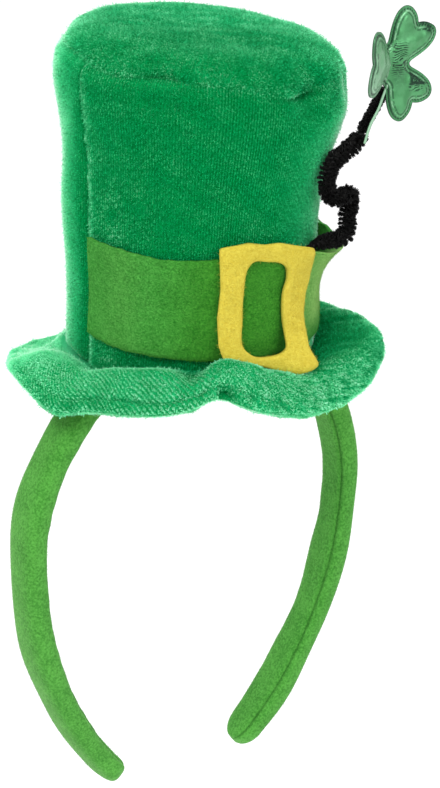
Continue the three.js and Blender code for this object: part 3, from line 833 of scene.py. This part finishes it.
def crown_pale(angle, v, points):
    """How far the crown's nap is brushed up: along its seams and in a few crushed patches; paler at the top
    of the wall as painted light.
    """
    beside = beside_seams(angle, 4, 1.8) * (1 - step_up(v, 0.75, 0.95))
    beside = beside * (0.7 + 0.5 * lumps(points, 0.004, 9))
    crushed = 0.12 * fade(angle + 72, 12) * (1 - step_up(v, 0.3, 0.75)) + 0.1 * fade(angle - 38, 14)
    patches = crushed * (1 + 0.6 * lumps(points, 0.006, 10)) + 0.035 * lumps(points, 0.009, 7)
    # painted light: paler at the top of the wall
    return 0.03 + 0.35 * beside + 0.2 * step_up(v, 0.88, 1) + patches


def crown_glow(angle, v, points):
    """Share of painted sheen on the crown: little beside its seams, at its right dent under the top seam,
    and less in a patch low on the right.
    """
    sewn = beside_seams(angle, 1.5, 3)
    dented = fade(angle - 15, 12) * step_up(v, 0.85, 0.92)
    painted_sheen_patch = 0.45 * fade(angle - 62, 30) * (1 - step_up(v, 0.3, 0.55))
    return (1 - sewn * (0.75 - 0.25 * lumps(points, 0.004, 9))) * (1 - dented) * (1 - painted_sheen_patch)


def lid_pale(u, v, points):
    angle = 360 * u - 180
    # painted light: paler towards the front left, near the rim
    front_left = fade(angle + 60, 50) * (1 - step_up(v, 0.3, 0.7))
    return 0.1 + 0.12 * front_left + 0.09 * lumps(points, 0.009, 8)


def make_crown():
    panels = [
        ("crown_front", LEFT_SEAM + SIDE_GAP, RIGHT_SEAM - SIDE_GAP, 380_000),
        ("crown_back", RIGHT_SEAM + SIDE_GAP, 360 + LEFT_SEAM - SIDE_GAP, 270_000),
    ]
    pieces = []
    for seed, (node, start, end, fibres) in enumerate(panels):
        u, v = spread(120, 64)
        face = crown_panel(start, end, u, v, 0.0)
        back = crown_panel(start, end, u, v, WALL)
        angle = start + (end - start) * u
        pale, glow = np.clip(crown_pale(angle, v, face), 0, 1), crown_glow(angle, v, face)
        threads = math.radians(end - start) * CROWN_MIDDLE / THREAD_GAP
        each = {"pale": pale, "thread": u * threads, "glow": glow}
        cloth = shell(node + "_cloth", face, back, False, PLUSH_GROUND, **each)
        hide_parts(node)
        rng = np.random.default_rng(20 + seed)
        ground = Ground(face)
        spots = ground.scatter(fibres, rng)
        u, v, on_row = in_rows(spots, np.cos(2 * np.pi * threads * spots[0]), rng)
        angle, _, below = panel_spots(start, end, u, v)
        # painted shade: darker nap in the creases under the top seam and below the right dent
        shaded = seam_crease(angle, below) + 0.3 * fade(angle - 16, 8) * fade(below - 6, 4)
        spots = u, v, 0.7 * on_row - 2 * shaded - 1.2 * beside_seams(angle, 0, 1.3)
        fur = pile(node + "_pile", ground, spots, 0.6, 0.2, down, pale, glow, 22 + seed, 0.18)
        pieces += [cloth, fur]
    u, v = spread(144, 40, True)
    face, back = crown_lid(u, v, 0.0, 0.0), crown_lid(u, v, SEAM_FLAT, WALL)
    pale = np.clip(lid_pale(u, v, face), 0, 1)
    # share of painted sheen on the lid: most at its rim, less at the rim by the right dent
    glow = (0.12 + 0.6 * fade(v, 0.25)) * (1 - fade(360 * u - 195, 15) * fade(v, 0.2))
    cloth = shell("crown_top_cloth", face, back, True, PLUSH_GROUND, weld=True, pale=pale, glow=glow)
    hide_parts("crown_top")
    ground = Ground(face[:, :-1], True)
    fibres = 110_000
    spots = *ground.scatter(fibres, np.random.default_rng(30)), np.full(fibres, 0.2)
    fur = pile("crown_top_pile", ground, spots, 0.65, 0.22, away, pale[:, :-1], glow[:, :-1], 31, 0.3, 0.42)


# Brim


# angle of the brim's pinch, distances of its middle and its foot from the axis
PINCH, BRIM_MIDDLE, BRIM_FOOT = -21.2, 54, 40.9

# half the thickness of the brim's hem, and the depth of the roll behind it
HEM_HALF, ROLL_DEEP = 2.4, 9

# angles round the brim, closer together at its pinch
ROUND_BRIM = np.concatenate([
    np.arange(-180, -27, 1.25),
    np.arange(-26.25, -10, 0.45),
    np.arange(-10, 180, 1.25),
])


def brim_profile(angle, t, over):
    """Radius and height of the brim's cloth: t runs from the edge to the root, over or under."""
    root, ridge_out, ridge_up, edge_out, edge_up = brim_rows(angle)
    edge_out = edge_out - PILE
    slope = unit(np.stack([edge_out - ridge_out, edge_up - ridge_up + 4.5], -1))
    side = (HEM_HALF - PILE / 2) * (1 if over else -1)
    edge = np.stack([edge_out, edge_up], -1)
    roll = edge + side * np.stack([-slope[..., 1], slope[..., 0]], -1) - 2 * slope
    ridge = np.stack([ridge_out, ridge_up - PILE if over else ridge_up - ROLL_DEEP + PILE], -1)
    foot_up = root - PILE if over else np.full_like(root, 1.2)
    foot = np.stack([np.full_like(root, BRIM_FOOT), foot_up], -1)
    knots = [edge, edge, roll, ridge, foot, foot]
    span = np.clip((t * 3).astype(int), 0, 2)
    p = (t * 3 - span)[..., None]
    a, b, c, d = (np.select([(span == k)[..., None] for k in range(3)], knots[i : i + 3]) for i in range(4))
    return curve_between(b, c, (c - a) / 2, (d - b) / 2, p)


def brim_cloth(angle, t, over):
    """The padded roll, with its topstitched edge, its soft lumps and the pinch in it."""
    point = brim_profile(angle, t, over)
    before, after = (brim_profile(angle, np.clip(t + step, 0, 1), over) for step in (-0.01, 0.01))
    ahead = unit(after - before)
    outward = np.stack([ahead[..., 1], -ahead[..., 0]], -1) * (1 if over else -1)
    spot = place(angle, point[..., 0], point[..., 1])
    raised = 0.3 * lumps(spot, 0.024, 11) + 0.1 * lumps(spot, 0.009, 12)
    raised = raised + 0.16 * fade(t - 0.3, 0.12) * lumps(spot * np.array([1, 1, 0.3]), 0.006, 13)
    raised = raised - 0.7 * fade(t - 0.4, 0.03) * (fade(angle + 52, 45) + 0.3 if over else 0.6)
    if over:
        raised = raised - 5.6 * pinch_pocket(angle, t) + 0.9 * pinch_lip(angle, t)
        raised = raised - 1.0 * fade(angle - PINCH + 6 - 18 * (t - 0.3), 2.2) * fade(t - 0.42, 0.16)
    held = np.minimum(1, 6 * t) * np.minimum(1, 8 * (1 - t))
    point = point + outward * (raised * held)[..., None]
    return place(angle, point[..., 0], point[..., 1])


def base_cloth(angle, share, over):
    """Base of the hat, from the brim's root at share 1 to the axis."""
    out = (40.6 if over else 38) * share
    thick = 2.2 - 0.9 * foot_dip(angle) * step_up(out, 33, 38) if over else 0.0
    return place(angle, out, 8.9 - 6.3 * (out / 38) ** 3 + thick)


def pinch_pocket(angle, t):
    """The pocket that the pinch leaves beside its lip."""
    past = angle - PINCH
    return step_up(past, -0.4, 0.7) * (1 - step_up(past, 2.4, 6.5)) * fade(t - 0.19, 0.16)


def pinch_lip(angle, t):
    return fade(angle - PINCH + 1.2, 1.1) * fade(t - 0.16, 0.12)


def brim_pale(angle, t, points):
    """How far the brim's nap is brushed up, most along its ridge and rim, least by the crown; the darkening
    by the crown, on its far side and in the pinch's pocket is painted shade, and the paler pinch's lip a
    painted highlight.
    """
    far_side = fade(angle - 70, 45)
    ridge = fade(t - 0.64 + 0.12 * far_side, 0.1)
    near_side = fade(angle + 118, 40)
    # painted shade: darker on the inner slope by the crown, except on the left
    inner = step_up(t, 0.7 - 0.12 * far_side, 0.92 - 0.12 * far_side) * (1 - near_side)
    hem = (1 - step_up(t, 0.3, 0.42)) * fade(angle + 62, 35)
    brushed = (0.9 + 0.1 * ridge + 0.12 * lumps(points, 0.009, 14) - 0.35 * hem) * (1 - inner)
    # painted shade: darker on the far side, above the rim
    brushed = brushed - 0.55 * far_side * step_up(t, 0.06, 0.35)
    # painted highlight on the pinch's lip, painted shade in its pocket
    return brushed + 0.5 * pinch_lip(angle, t) - 2 * pinch_pocket(angle, t)


def brim_glow(angle, t):
    """Share of painted sheen on the brim: most along the rim and at the two sides, little on the ridge,
    none in the pinch's pocket.
    """
    raised = np.maximum(fade(t, 0.2 + 0.08 * fade(angle - 60, 40)), fade(angle + 112, 38))
    raised = np.maximum(raised, 0.8 * fade(t - 0.7, 0.16) * fade(angle - 78, 28))
    return (0.06 + 0.84 * raised) * (1 - pinch_pocket(angle, t))


def brim_stitches(angle, from_rim):
    """1 on the slanting rows of stitches that show on the left of the brim, -1 between them."""
    slant = 0.5 + 0.3 * fade(angle + 78, 32)
    return np.cos(2 * np.pi * (0.63 * angle + slant * from_rim)) * (1 - step_up(angle, -25, -5))


def brim_tufts_and_shade(angle, t, from_rim, on_row):
    """How far the brim's nap is tufted, which sets its tone: in rows, in strokes on the right, along its
    rim and ridge; with painted shade in its topstitched crease, on its far right and in the pinch's pocket,
    and a painted highlight on the pinch's lip.
    """
    turn = np.radians(angle) * BRIM_MIDDLE
    across, length = 0.42 * turn + 0.9 * from_rim, 0.9 * turn - 0.42 * from_rim
    laid = np.stack([across, length / 4, 0 * turn], -1) * MM
    strokes = lumps(laid, 0.0015, 43, 40)
    right = step_up(angle, -25, -5)
    left = fade(angle + 100, 30)
    ends = fade(angle + 108, 16) + 0.6 * fade(angle - 75, 25)
    fringe = fade(t, 0.13) + ends * fade(t - 0.25, 0.3) + (0.7 + left) * fade(t - 0.6, 0.14)
    # painted shade in the topstitched crease
    crease = fade(t - 0.4, 0.03) * fade(angle + 52, 30) * (0.8 + 0.4 * lumps(laid, 0.005, 44))
    stroked = (1.15 + 1.3 * strokes - (0.6 + 0.8 * strokes) * step_up(angle, 15, 45)) * right
    brushed = 0.2 + 1.6 * on_row + stroked + 1.6 * fringe - 2.4 * crease
    # paler near angle -36; painted shade on the far right, above the rim
    brushed = brushed + 0.9 * fade(angle + 36, 14) - 2.0 * fade(angle - 62, 36) * step_up(t, 0.06, 0.35)
    # painted shade in the pinch's pocket, painted highlight on its lip
    return brushed - 5 * pinch_pocket(angle, t) + 3 * pinch_lip(angle, t)


def make_brim():
    base, rim = 8, 19
    under, over = np.linspace(-1, 0, rim + 1)[:-1], np.linspace(0, 1, 34)
    t = np.concatenate([np.full(base, -1.0), under, over, np.ones(base)])
    angle, t = np.meshgrid(ROUND_BRIM, t, indexing="ij")
    rows = base + rim
    lower = brim_cloth(angle[:, base:rows], -t[:, base:rows], False)
    roll = np.concatenate([lower, brim_cloth(angle[:, rows:-base], t[:, rows:-base], True)], 1)
    share = np.linspace(0, 1, base)
    bases = base_cloth(angle[:, :base], share, False), base_cloth(angle[:, :base], share[::-1], True)
    skin = np.concatenate([bases[0], roll, bases[1]], 1)
    faces = grid_faces(*skin.shape[:2], True)
    pale, glow = np.clip(brim_pale(angle, t, skin), 0, 1), brim_glow(angle, t)
    each = {"pale": pale.ravel(), "glow": glow.ravel()}
    cloth = add_mesh("brim_cloth", skin.reshape(-1, 3), [faces], PLUSH_GROUND, weld=True, **each)
    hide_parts("brim")
    ground = Ground(roll, True)
    rng = np.random.default_rng(40)
    spots = ground.scatter(360_000, rng)
    along = run_along(roll) / MM
    angle, t, pale, glow = (values[:, base:-base] for values in (angle, t, pale, glow))
    here = angle, t, along - along[:, rim : rim + 1]
    around, _, from_rim = (ground.read(value, *spots) for value in here)
    u, v, on_row = in_rows(spots, brim_stitches(around, from_rim), rng)
    spots = u, v, brim_tufts_and_shade(*(ground.read(value, u, v) for value in here), on_row)
    fur = pile("brim_pile", ground, spots, 0.7, 0.23, away, pale, glow, 41, 0.25, 0.16)


# Felt band and buckle


def band_radius(angle, up):
    low, top, lift = band_rows(angle)
    share = np.clip((up - low) / (top - low), 0, 1)
    return crown_radius(angle, up) + 0.3 + np.maximum(lift, 0) * share**4.5


def band_face(u, v, outwards):
    angle = BAND_FROM + (BAND_TO - BAND_FROM) * u
    low, top, _ = band_rows(angle)
    uneven = 0.12 * lumps(place(angle, CROWN_MIDDLE, 0 * angle), 0.004, 51)
    up = low + uneven + (top - low) * (1 - (1 - v) ** 1.3)
    out = band_radius(angle, up)
    wave = 0.2 * lumps(place(angle, out, up), 0.02, 52) if outwards else 0.0
    return place(angle, out + outwards + wave, up)


def make_band():
    u, v = spread(180, 32)
    face = band_face(u, v, BAND_THICK)
    # painted shade: darker band from left of the buckle across its window
    deep = step_up(u, 0.15, 0.36) * (1 - step_up(u, 0.57, 0.64))
    # painted sheen: paler band right of the buckle, and faintly on its left part
    painted_sheen_patch = step_up(u, 0.56, 0.7) * (1 - step_up(u, 0.78, 0.88)) * step_up(v, 0, 0.3)
    painted_sheen_patch = painted_sheen_patch + 0.07 * fade(u - 0.11, 0.06)
    each = {"deep": deep, "painted_sheen_patch": painted_sheen_patch}
    strip = shell("hat_band_felt", face, band_face(u, v, 0.0), False, FELT_GREEN, **each)
    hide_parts("hat_band")
    fuzz = hairs("hat_band_hairs", Ground(face), 26_000, 1.3, 0.07, FELT_GREEN, 53, **each)


def cross_flat(p, q):
    return p[..., 0] * q[..., 1] - p[..., 1] * q[..., 0]


def ring_round(points, middle, turns):
    """Where rays from a middle, at these turns, meet a closed line of points round it."""
    spokes = np.array(points) - middle
    at = np.degrees(np.arctan2(spokes[:, 1], spokes[:, 0])) % 360
    order = np.argsort(at)
    line = spokes[order]
    line = np.vstack([line[-1:], line, line[:1]])
    at = np.concatenate([[at[order[-1]] - 360], at[order], [at[order[0]] + 360]])
    k = np.searchsorted(at, turns, side="right") - 1
    a, b = line[k], line[k + 1]
    ray = np.stack([np.cos(np.radians(turns)), np.sin(np.radians(turns))], -1)
    return middle + ray * (cross_flat(a, b - a) / cross_flat(ray, b - a))[:, None]


def buckle_face(flat, v, outwards):
    """The felt frame bent round the band, its lower corner lifted off by the brim."""
    x, z = flat[..., 0], flat[..., 1]
    angle = np.degrees(x / BUCKLE_RADIUS)
    low = 1 - step_up(z, band_rows(angle)[0] - 4, 34)
    lift = (3 + 6 * step_up(x, 0, 18)) * low**2
    rounding = 0.5 * (fade(v, 0.09) + fade(1 - v, 0.07))
    soft = 0.2 * lumps(place(angle, 46.0, z), 0.014, 61)
    stand = outwards - rounding + soft if outwards else 0.3 * rounding
    return place(angle, band_radius(angle, z) + BAND_THICK + BUCKLE_STAND + lift + stand, z)


def make_buckle():
    middle = np.array([-0.7, 30.0])
    turns = np.arange(240) * 1.5
    window = ring_round(curve_through(BUCKLE_WINDOW, 12, True)[0], middle, turns)
    edge = ring_round(BUCKLE_EDGE, middle, turns)
    edge = (np.roll(edge, 1, 0) + 2 * edge + np.roll(edge, -1, 0)) / 4
    v = np.linspace(0, 1, 12)[None, :]
    flat = edge[:, None] + (window - edge)[:, None] * v[..., None]
    v = np.broadcast_to(v, flat.shape[:2])
    face = buckle_face(flat, v, BUCKLE_THICK)
    frame_piece = shell("buckle_felt", face, buckle_face(flat, v, 0.0), True, FELT_YELLOW)
    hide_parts("buckle")
    fuzz = hairs("buckle_hairs", Ground(face, True), 7_000, 1.1, 0.06, FELT_YELLOW, 62)


# Chenille stem and shamrock


def make_stem():
    rows = np.array(STEM_ROWS)
    route, at = curve_through(place(*rows[:, :3].T), 40)
    radius = np.interp(at, np.arange(len(rows)), rows[:, 3]) * MM
    first, second = carried_frames(route)
    sides = 12
    plain = np.zeros((len(route), sides))
    core = tube("pipe_cleaner_core", route, first, second, radius * 0.45, sides, CHENILLE, tone=plain)
    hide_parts("pipe_cleaner")

    rng = np.random.default_rng(70)
    length, bare = run_along(route), np.argmin(np.abs(at - STEM_BARE))
    count = 42_000
    run = rng.random(count) * length[-1]
    run = np.where(np.abs(run - length[bare] - 0.4 * MM) < 0.4 * MM, run - 2 * MM, run)
    k = np.interp(run, length, np.arange(len(route)))
    i = np.minimum(k.astype(int), len(route) - 2)
    p = (k - i)[:, None]

    def here(values):
        return values[i] * (1 - p) + values[i + 1] * p

    thin = at[i] > STEM_BARE
    stray = np.where(thin, 1.1, 0.33)
    twist = 2 * np.pi * run / (STEM_PITCH * MM) + np.pi * rng.integers(0, 2, count)
    turn = twist + stray * rng.normal(size=count)
    out = np.cos(turn)[:, None] * here(first) + np.sin(turn)[:, None] * here(second)
    way = unit(out + 0.08 * rng.normal(size=(count, 3)))
    thick = np.where(thin, 1.9 * MM, here(radius[:, None])[:, 0])
    root = here(route)
    clump = lumps(root + out * 3 * MM, 0.0016, 71)
    tall = thick * np.clip(rng.uniform(0.76, 1.0, count) + 0.08 * clump, 0.5, 1.12)
    side = unit(np.cross(way, rng.normal(size=(count, 3))))
    wide = rng.uniform(0.16, 0.3, count) * MM
    tone = rng.random(count)
    name = "pipe_cleaner_bristles"
    pieces = [core, blades(name, root, way, side, way, tall, wide, CHENILLE, True, tone=tone)]

    steps = 50
    route, first, second = (values[bare : bare + steps] for values in (route, first, second))
    twist = np.arange(steps)[:, None] * 0.35
    offset = first * np.cos(twist) + second * np.sin(twist)
    for name, sign in (("stem_wire_a", 1), ("stem_wire_b", -1)):
        line = route + offset * sign * 0.33 * MM
        pieces.append(tube(name, line, *carried_frames(line), np.full(steps, 0.3 * MM), 8, WIRE))


def shamrock_relief(x, z, inside, along):
    """Height of the film's face in millimetres, its puff, and the values its finish draws from."""
    spot = np.stack([x, 0 * x, z], -1) * MM
    puff = 1.3 * np.sqrt(np.clip((inside - 1.0) / 5.5, 0, 1))
    neck = step_up(3.7 - np.abs(x - 0.3), 0, 2.2) * step_up(6.4 - np.abs(z - 1.6), 0, 3.5)
    lower_lobe = step_up(x, 4, 5) * step_up(10.6 - x, 0, 1) * step_up(z, -9.6, -9) * step_up(-6 - z, 0, 1)
    drop = x - 4.3
    triangle = step_up(drop, 0, 0.8) * step_up(-2.2 - 0.63 * drop - z, 0, 0.6) * step_up(z, -7.6, -7)
    upper = fade(np.hypot((x - 10.6) / 1.7, (z - 10.2) / 1.4), 1)
    upper = upper + 0.8 * fade(x - 9, 2.4) * fade(z - 12, 0.5)
    crinkle = lumps(spot, 0.004, 82) * step_up(inside, 1.2, 3)
    pressed = 0.25 * fade(inside - 0.95, 0.33) + 0.15 * fade(inside - 2.1, 0.25)
    height = 0.35 + puff - pressed + 0.1 * crinkle
    drawn = {
        "inside": inside,
        "along": np.broadcast_to(along, x.shape),
        "rib": (z + 0.4 * lumps(spot, 0.0045, 81)) / 0.75,
        "ribbed": np.clip(1.3 * neck + lower_lobe, 0, 1),
        # painted shade in the crinkles: a triangle on the lower right leaf, a spot on the upper right leaf
        # and a soft patch below the middle
        "crinkle_shade": np.clip(triangle + upper + 0.35 * fade(x - 0.4, 2.4) * fade(z + 5, 3.5), 0, 1),
        "dashed": step_up(x, -2, 5),
        # painted reflection: paler film on leaf three past its fold, less towards its top
        "bright": 0.75 * step_up(LEAF_FOLD - 0.4 - x, 0, 1) * (0.6 - 0.4 * np.tanh(z / 4)),
    }
    return height, puff, drawn


def make_shamrock():
    around, rings = 400, 34
    turn, share = np.meshgrid(np.arange(around) * 360 / around, np.linspace(1, 0.02, rings), indexing="ij")
    off = np.min([np.abs((turn - leaf + 180) % 360 - 180) for leaf in LEAF_TURNS], axis=0)
    reach = share * leaf_reach(np.minimum(off, 60))[0]
    x = SHAMROCK_MIDDLE[0] + reach * np.cos(np.radians(turn))
    z = SHAMROCK_MIDDLE[1] + reach * np.sin(np.radians(turn))
    rim = np.stack([x[:, 0], z[:, 0]], -1)
    to_rim = np.hypot(x[..., None] - rim[::2, 0], z[..., None] - rim[::2, 1])
    inside = to_rim.min(-1)
    inside[:, 0] = 0
    height, puff, drawn = shamrock_relief(x, z, inside, run_along(rim)[:, None])

    past = np.maximum(0, LEAF_FOLD - x)
    bend = LEAF_BEND * step_up(past, 0, 1.6)
    z = z * (1 + 0.2 * step_up(past, 0, 6)) + 0.5 * step_up(past, 0, 6)
    left = np.where(past > 0, LEAF_FOLD - past * np.cos(bend), x)
    centre = on_hat(*SHAMROCK_AT)
    faces = []
    for thick in (height, -0.35 - puff * 0.7):
        forward = past * np.sin(bend) + thick * np.cos(bend)
        faces.append(from_hat(centre + np.stack([left + thick * np.sin(bend), -forward, z], -1))[::-1])
    drawn = {key: value[::-1] for key, value in drawn.items()}
    leaf = shell("shamrock_foil", *faces, True, FOIL, weld=True, **drawn)
    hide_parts("shamrock")

    route, _ = curve_through(place(*np.array(TAIL_ROWS).T), 14)
    first, second = carried_frames(route)
    ring = 2 * np.pi * np.arange(12) / 12
    oval = 0.5 * np.cos(ring)[:, None] * first[:, None] + 0.34 * np.sin(ring)[:, None] * second[:, None]
    grid = route[:, None] + oval * MM
    # painted shade on the tail's side turned down to the right: less painted reflection there, with its hem
    # lines drawn on it
    turned = step_up(unit(oval) @ np.array([0.8, 0, -0.6]), 0.3, 0.8)
    tail = lofted("shamrock_tail", grid, FOIL, inside=5 - 4.7 * turned, bright=0.95 - 0.5 * turned)


# Headband


def arch(distance):
    """Middle of the headband and its slope, at distances along it from the top of the arch."""
    side = np.where(distance < 0, -1.0, 1.0)
    left = np.abs(distance)
    heading, x, z = np.zeros_like(left), np.zeros_like(left), np.full_like(left, HEADBAND_THICK / 2)
    for radius, sweep in HEADBAND_ARCS:
        turn = np.clip(left / radius, 0, math.radians(sweep))
        x = x + radius * (np.sin(heading + turn) - np.sin(heading))
        z = z - radius * (np.cos(heading) - np.cos(heading + turn))
        heading = heading + turn
        left = left - radius * turn
    return side * x, z, side * heading


def headband_face(u, v):
    """The padded tube: u along it and v round its section, from the front edge over the outer face."""
    half = sum(radius * math.radians(sweep) for radius, sweep in HEADBAND_ARCS)
    stop = (2 * u - 1) * half * 0.99999
    x, z, heading = arch(stop)
    into_tip = np.clip((np.abs(stop) - half + HEADBAND_TIP) / HEADBAND_TIP, 0, 1)
    rounding = np.sqrt(1 - into_tip**2)
    turn = 2 * np.pi * v
    cos, sin = np.cos(turn), np.sin(turn)
    across = HEADBAND_WIDTH / 2 * rounding * np.sign(cos) * np.abs(cos) ** (2 / 3)
    thick = HEADBAND_THICK / 2 * (0.4 + 0.6 * rounding) * np.sign(sin) * np.abs(sin) ** (2 / 3)
    spot = np.stack([stop, across, thick], -1) * MM
    inner = step_up(-sin, 0.1, 0.9)
    creases = inner * 0.06 * lumps(spot * np.array([1, 0.25, 0.25]), 0.006, 91)
    swell = 1 + (0.18 * lumps(spot, 0.03, 92) + creases - 0.8 * seam_line(v)) / (HEADBAND_THICK / 2)
    across, thick = across * swell, thick * swell
    return np.stack([x + thick * np.sin(heading), across, z + thick * np.cos(heading)], -1) * MM


def seam_line(v):
    """The sewn line along the corner of the inner face and the front edge."""
    return fade(v - 0.632, 0.011)


def make_headband():
    tip = np.linspace(0, 0.03, 20, endpoint=False)
    stops = np.concatenate([tip, np.linspace(0.03, 0.97, 200), 1 - tip[::-1]])
    u, v = np.meshgrid(stops, np.arange(48) / 48, indexing="ij")
    face = headband_face(u, v)
    strap = lofted("headband_cloth", face, HEADBAND_CLOTH, seam=seam_line(v))
    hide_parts("headband")
    ground = Ground(np.swapaxes(face[10:-10], 0, 1), True)
    fuzz = hairs("headband_hairs", ground, 40_000, 1.0, 0.08, HEADBAND_CLOTH, 93)


make_headband()
make_crown()
make_brim()
make_band()
make_buckle()
make_stem()
make_shamrock()


# Camera, light and floor


def set_camera():
    """The photo's viewpoint: a long lens, to the hat's left and a little above it."""
    azimuth, height, roll = (math.radians(turn) for turn in (-36.69, 20.27, -3.38))
    target = Vector((0, -0.85, -32)) * MM
    level_share = math.cos(height)
    back = Vector((math.sin(azimuth) * level_share, -math.cos(azimuth) * level_share, math.sin(height)))
    level = Vector((math.cos(azimuth), math.sin(azimuth), 0))
    above = back.cross(level)
    right = level * math.cos(roll) - above * math.sin(roll)
    upward = level * math.sin(roll) + above * math.cos(roll)
    # in pixels of the photo: its focal length and height, its middle, and where the target lies in it
    focal, tall = 3050, 788
    middle, seen_at = (220, 394), (194.76, 450.57)
    sight = (right * (middle[0] - seen_at[0]) - upward * (middle[1] - seen_at[1])) / focal - back
    sight.normalize()
    right = (right - sight * right.dot(sight)).normalized()
    lens = bpy.data.cameras.new("camera")
    lens.sensor_width = 36
    lens.lens = focal / tall * lens.sensor_width
    lens.clip_start, lens.clip_end = 0.01, 20
    camera = bpy.data.objects.new("camera", lens)
    axes = Matrix((right, (-sight).cross(right), -sight)).transposed()
    camera.matrix_world = Matrix.Translation(target + back) @ axes.to_4x4()
    bpy.context.scene.collection.objects.link(camera)
    bpy.context.scene.camera = camera


def add_light(name, at, size, power, aim=(0, 0, 0.03)):
    panel = bpy.data.lights.new(name, "AREA")
    panel.shape, panel.size, panel.energy = "DISK", size, power
    lamp = bpy.data.objects.new(name, panel)
    lamp.location = at
    lamp.rotation_euler = (Vector(aim) - Vector(at)).to_track_quat("-Z", "Y").to_euler()
    bpy.context.scene.collection.objects.link(lamp)


def set_stage():
    floor_finish = Finish("floor_white", Roughness=0.9, Specular_IOR_Level=0.1, Emission_Strength=0.12)
    shade = floor_finish.between(floor_finish.noise(3), 0.2, 0.8)
    floor_finish.give(Base_Color=floor_finish.mix(shade, (0.93, 0.93, 0.93, 1), (0.96, 0.96, 0.96, 1)))
    floor_finish.give(Emission_Color=(1, 1, 1, 1))
    mesh = bpy.data.meshes.new("floor")
    wide, low = 6, -0.6
    corners = [(x * wide, y * wide, low) for x, y in ((-1, -1), (1, -1), (1, 1), (-1, 1))]
    mesh.from_pydata(corners, [], [(0, 1, 2, 3)])
    mesh.materials.append(floor_finish.material)
    floor = bpy.data.objects.new("floor", mesh)
    bpy.context.scene.collection.objects.link(floor)
    world = bpy.data.worlds.new("white_studio")
    world.use_nodes = True
    sky = world.node_tree.nodes["Background"].inputs
    sky["Color"].default_value, sky["Strength"].default_value = (1, 1, 1, 1), 1.0
    bpy.context.scene.world = world
    bpy.context.scene.view_settings.view_transform = "Standard"
    add_light("key_left", (-0.9, -0.6, 0.9), 0.5, 9)
    add_light("fill_front", (0.1, -1.2, 0.5), 0.6, 4)
    add_light("top", (0.0, 0.1, 1.1), 0.5, 5)


set_camera()
set_stage()
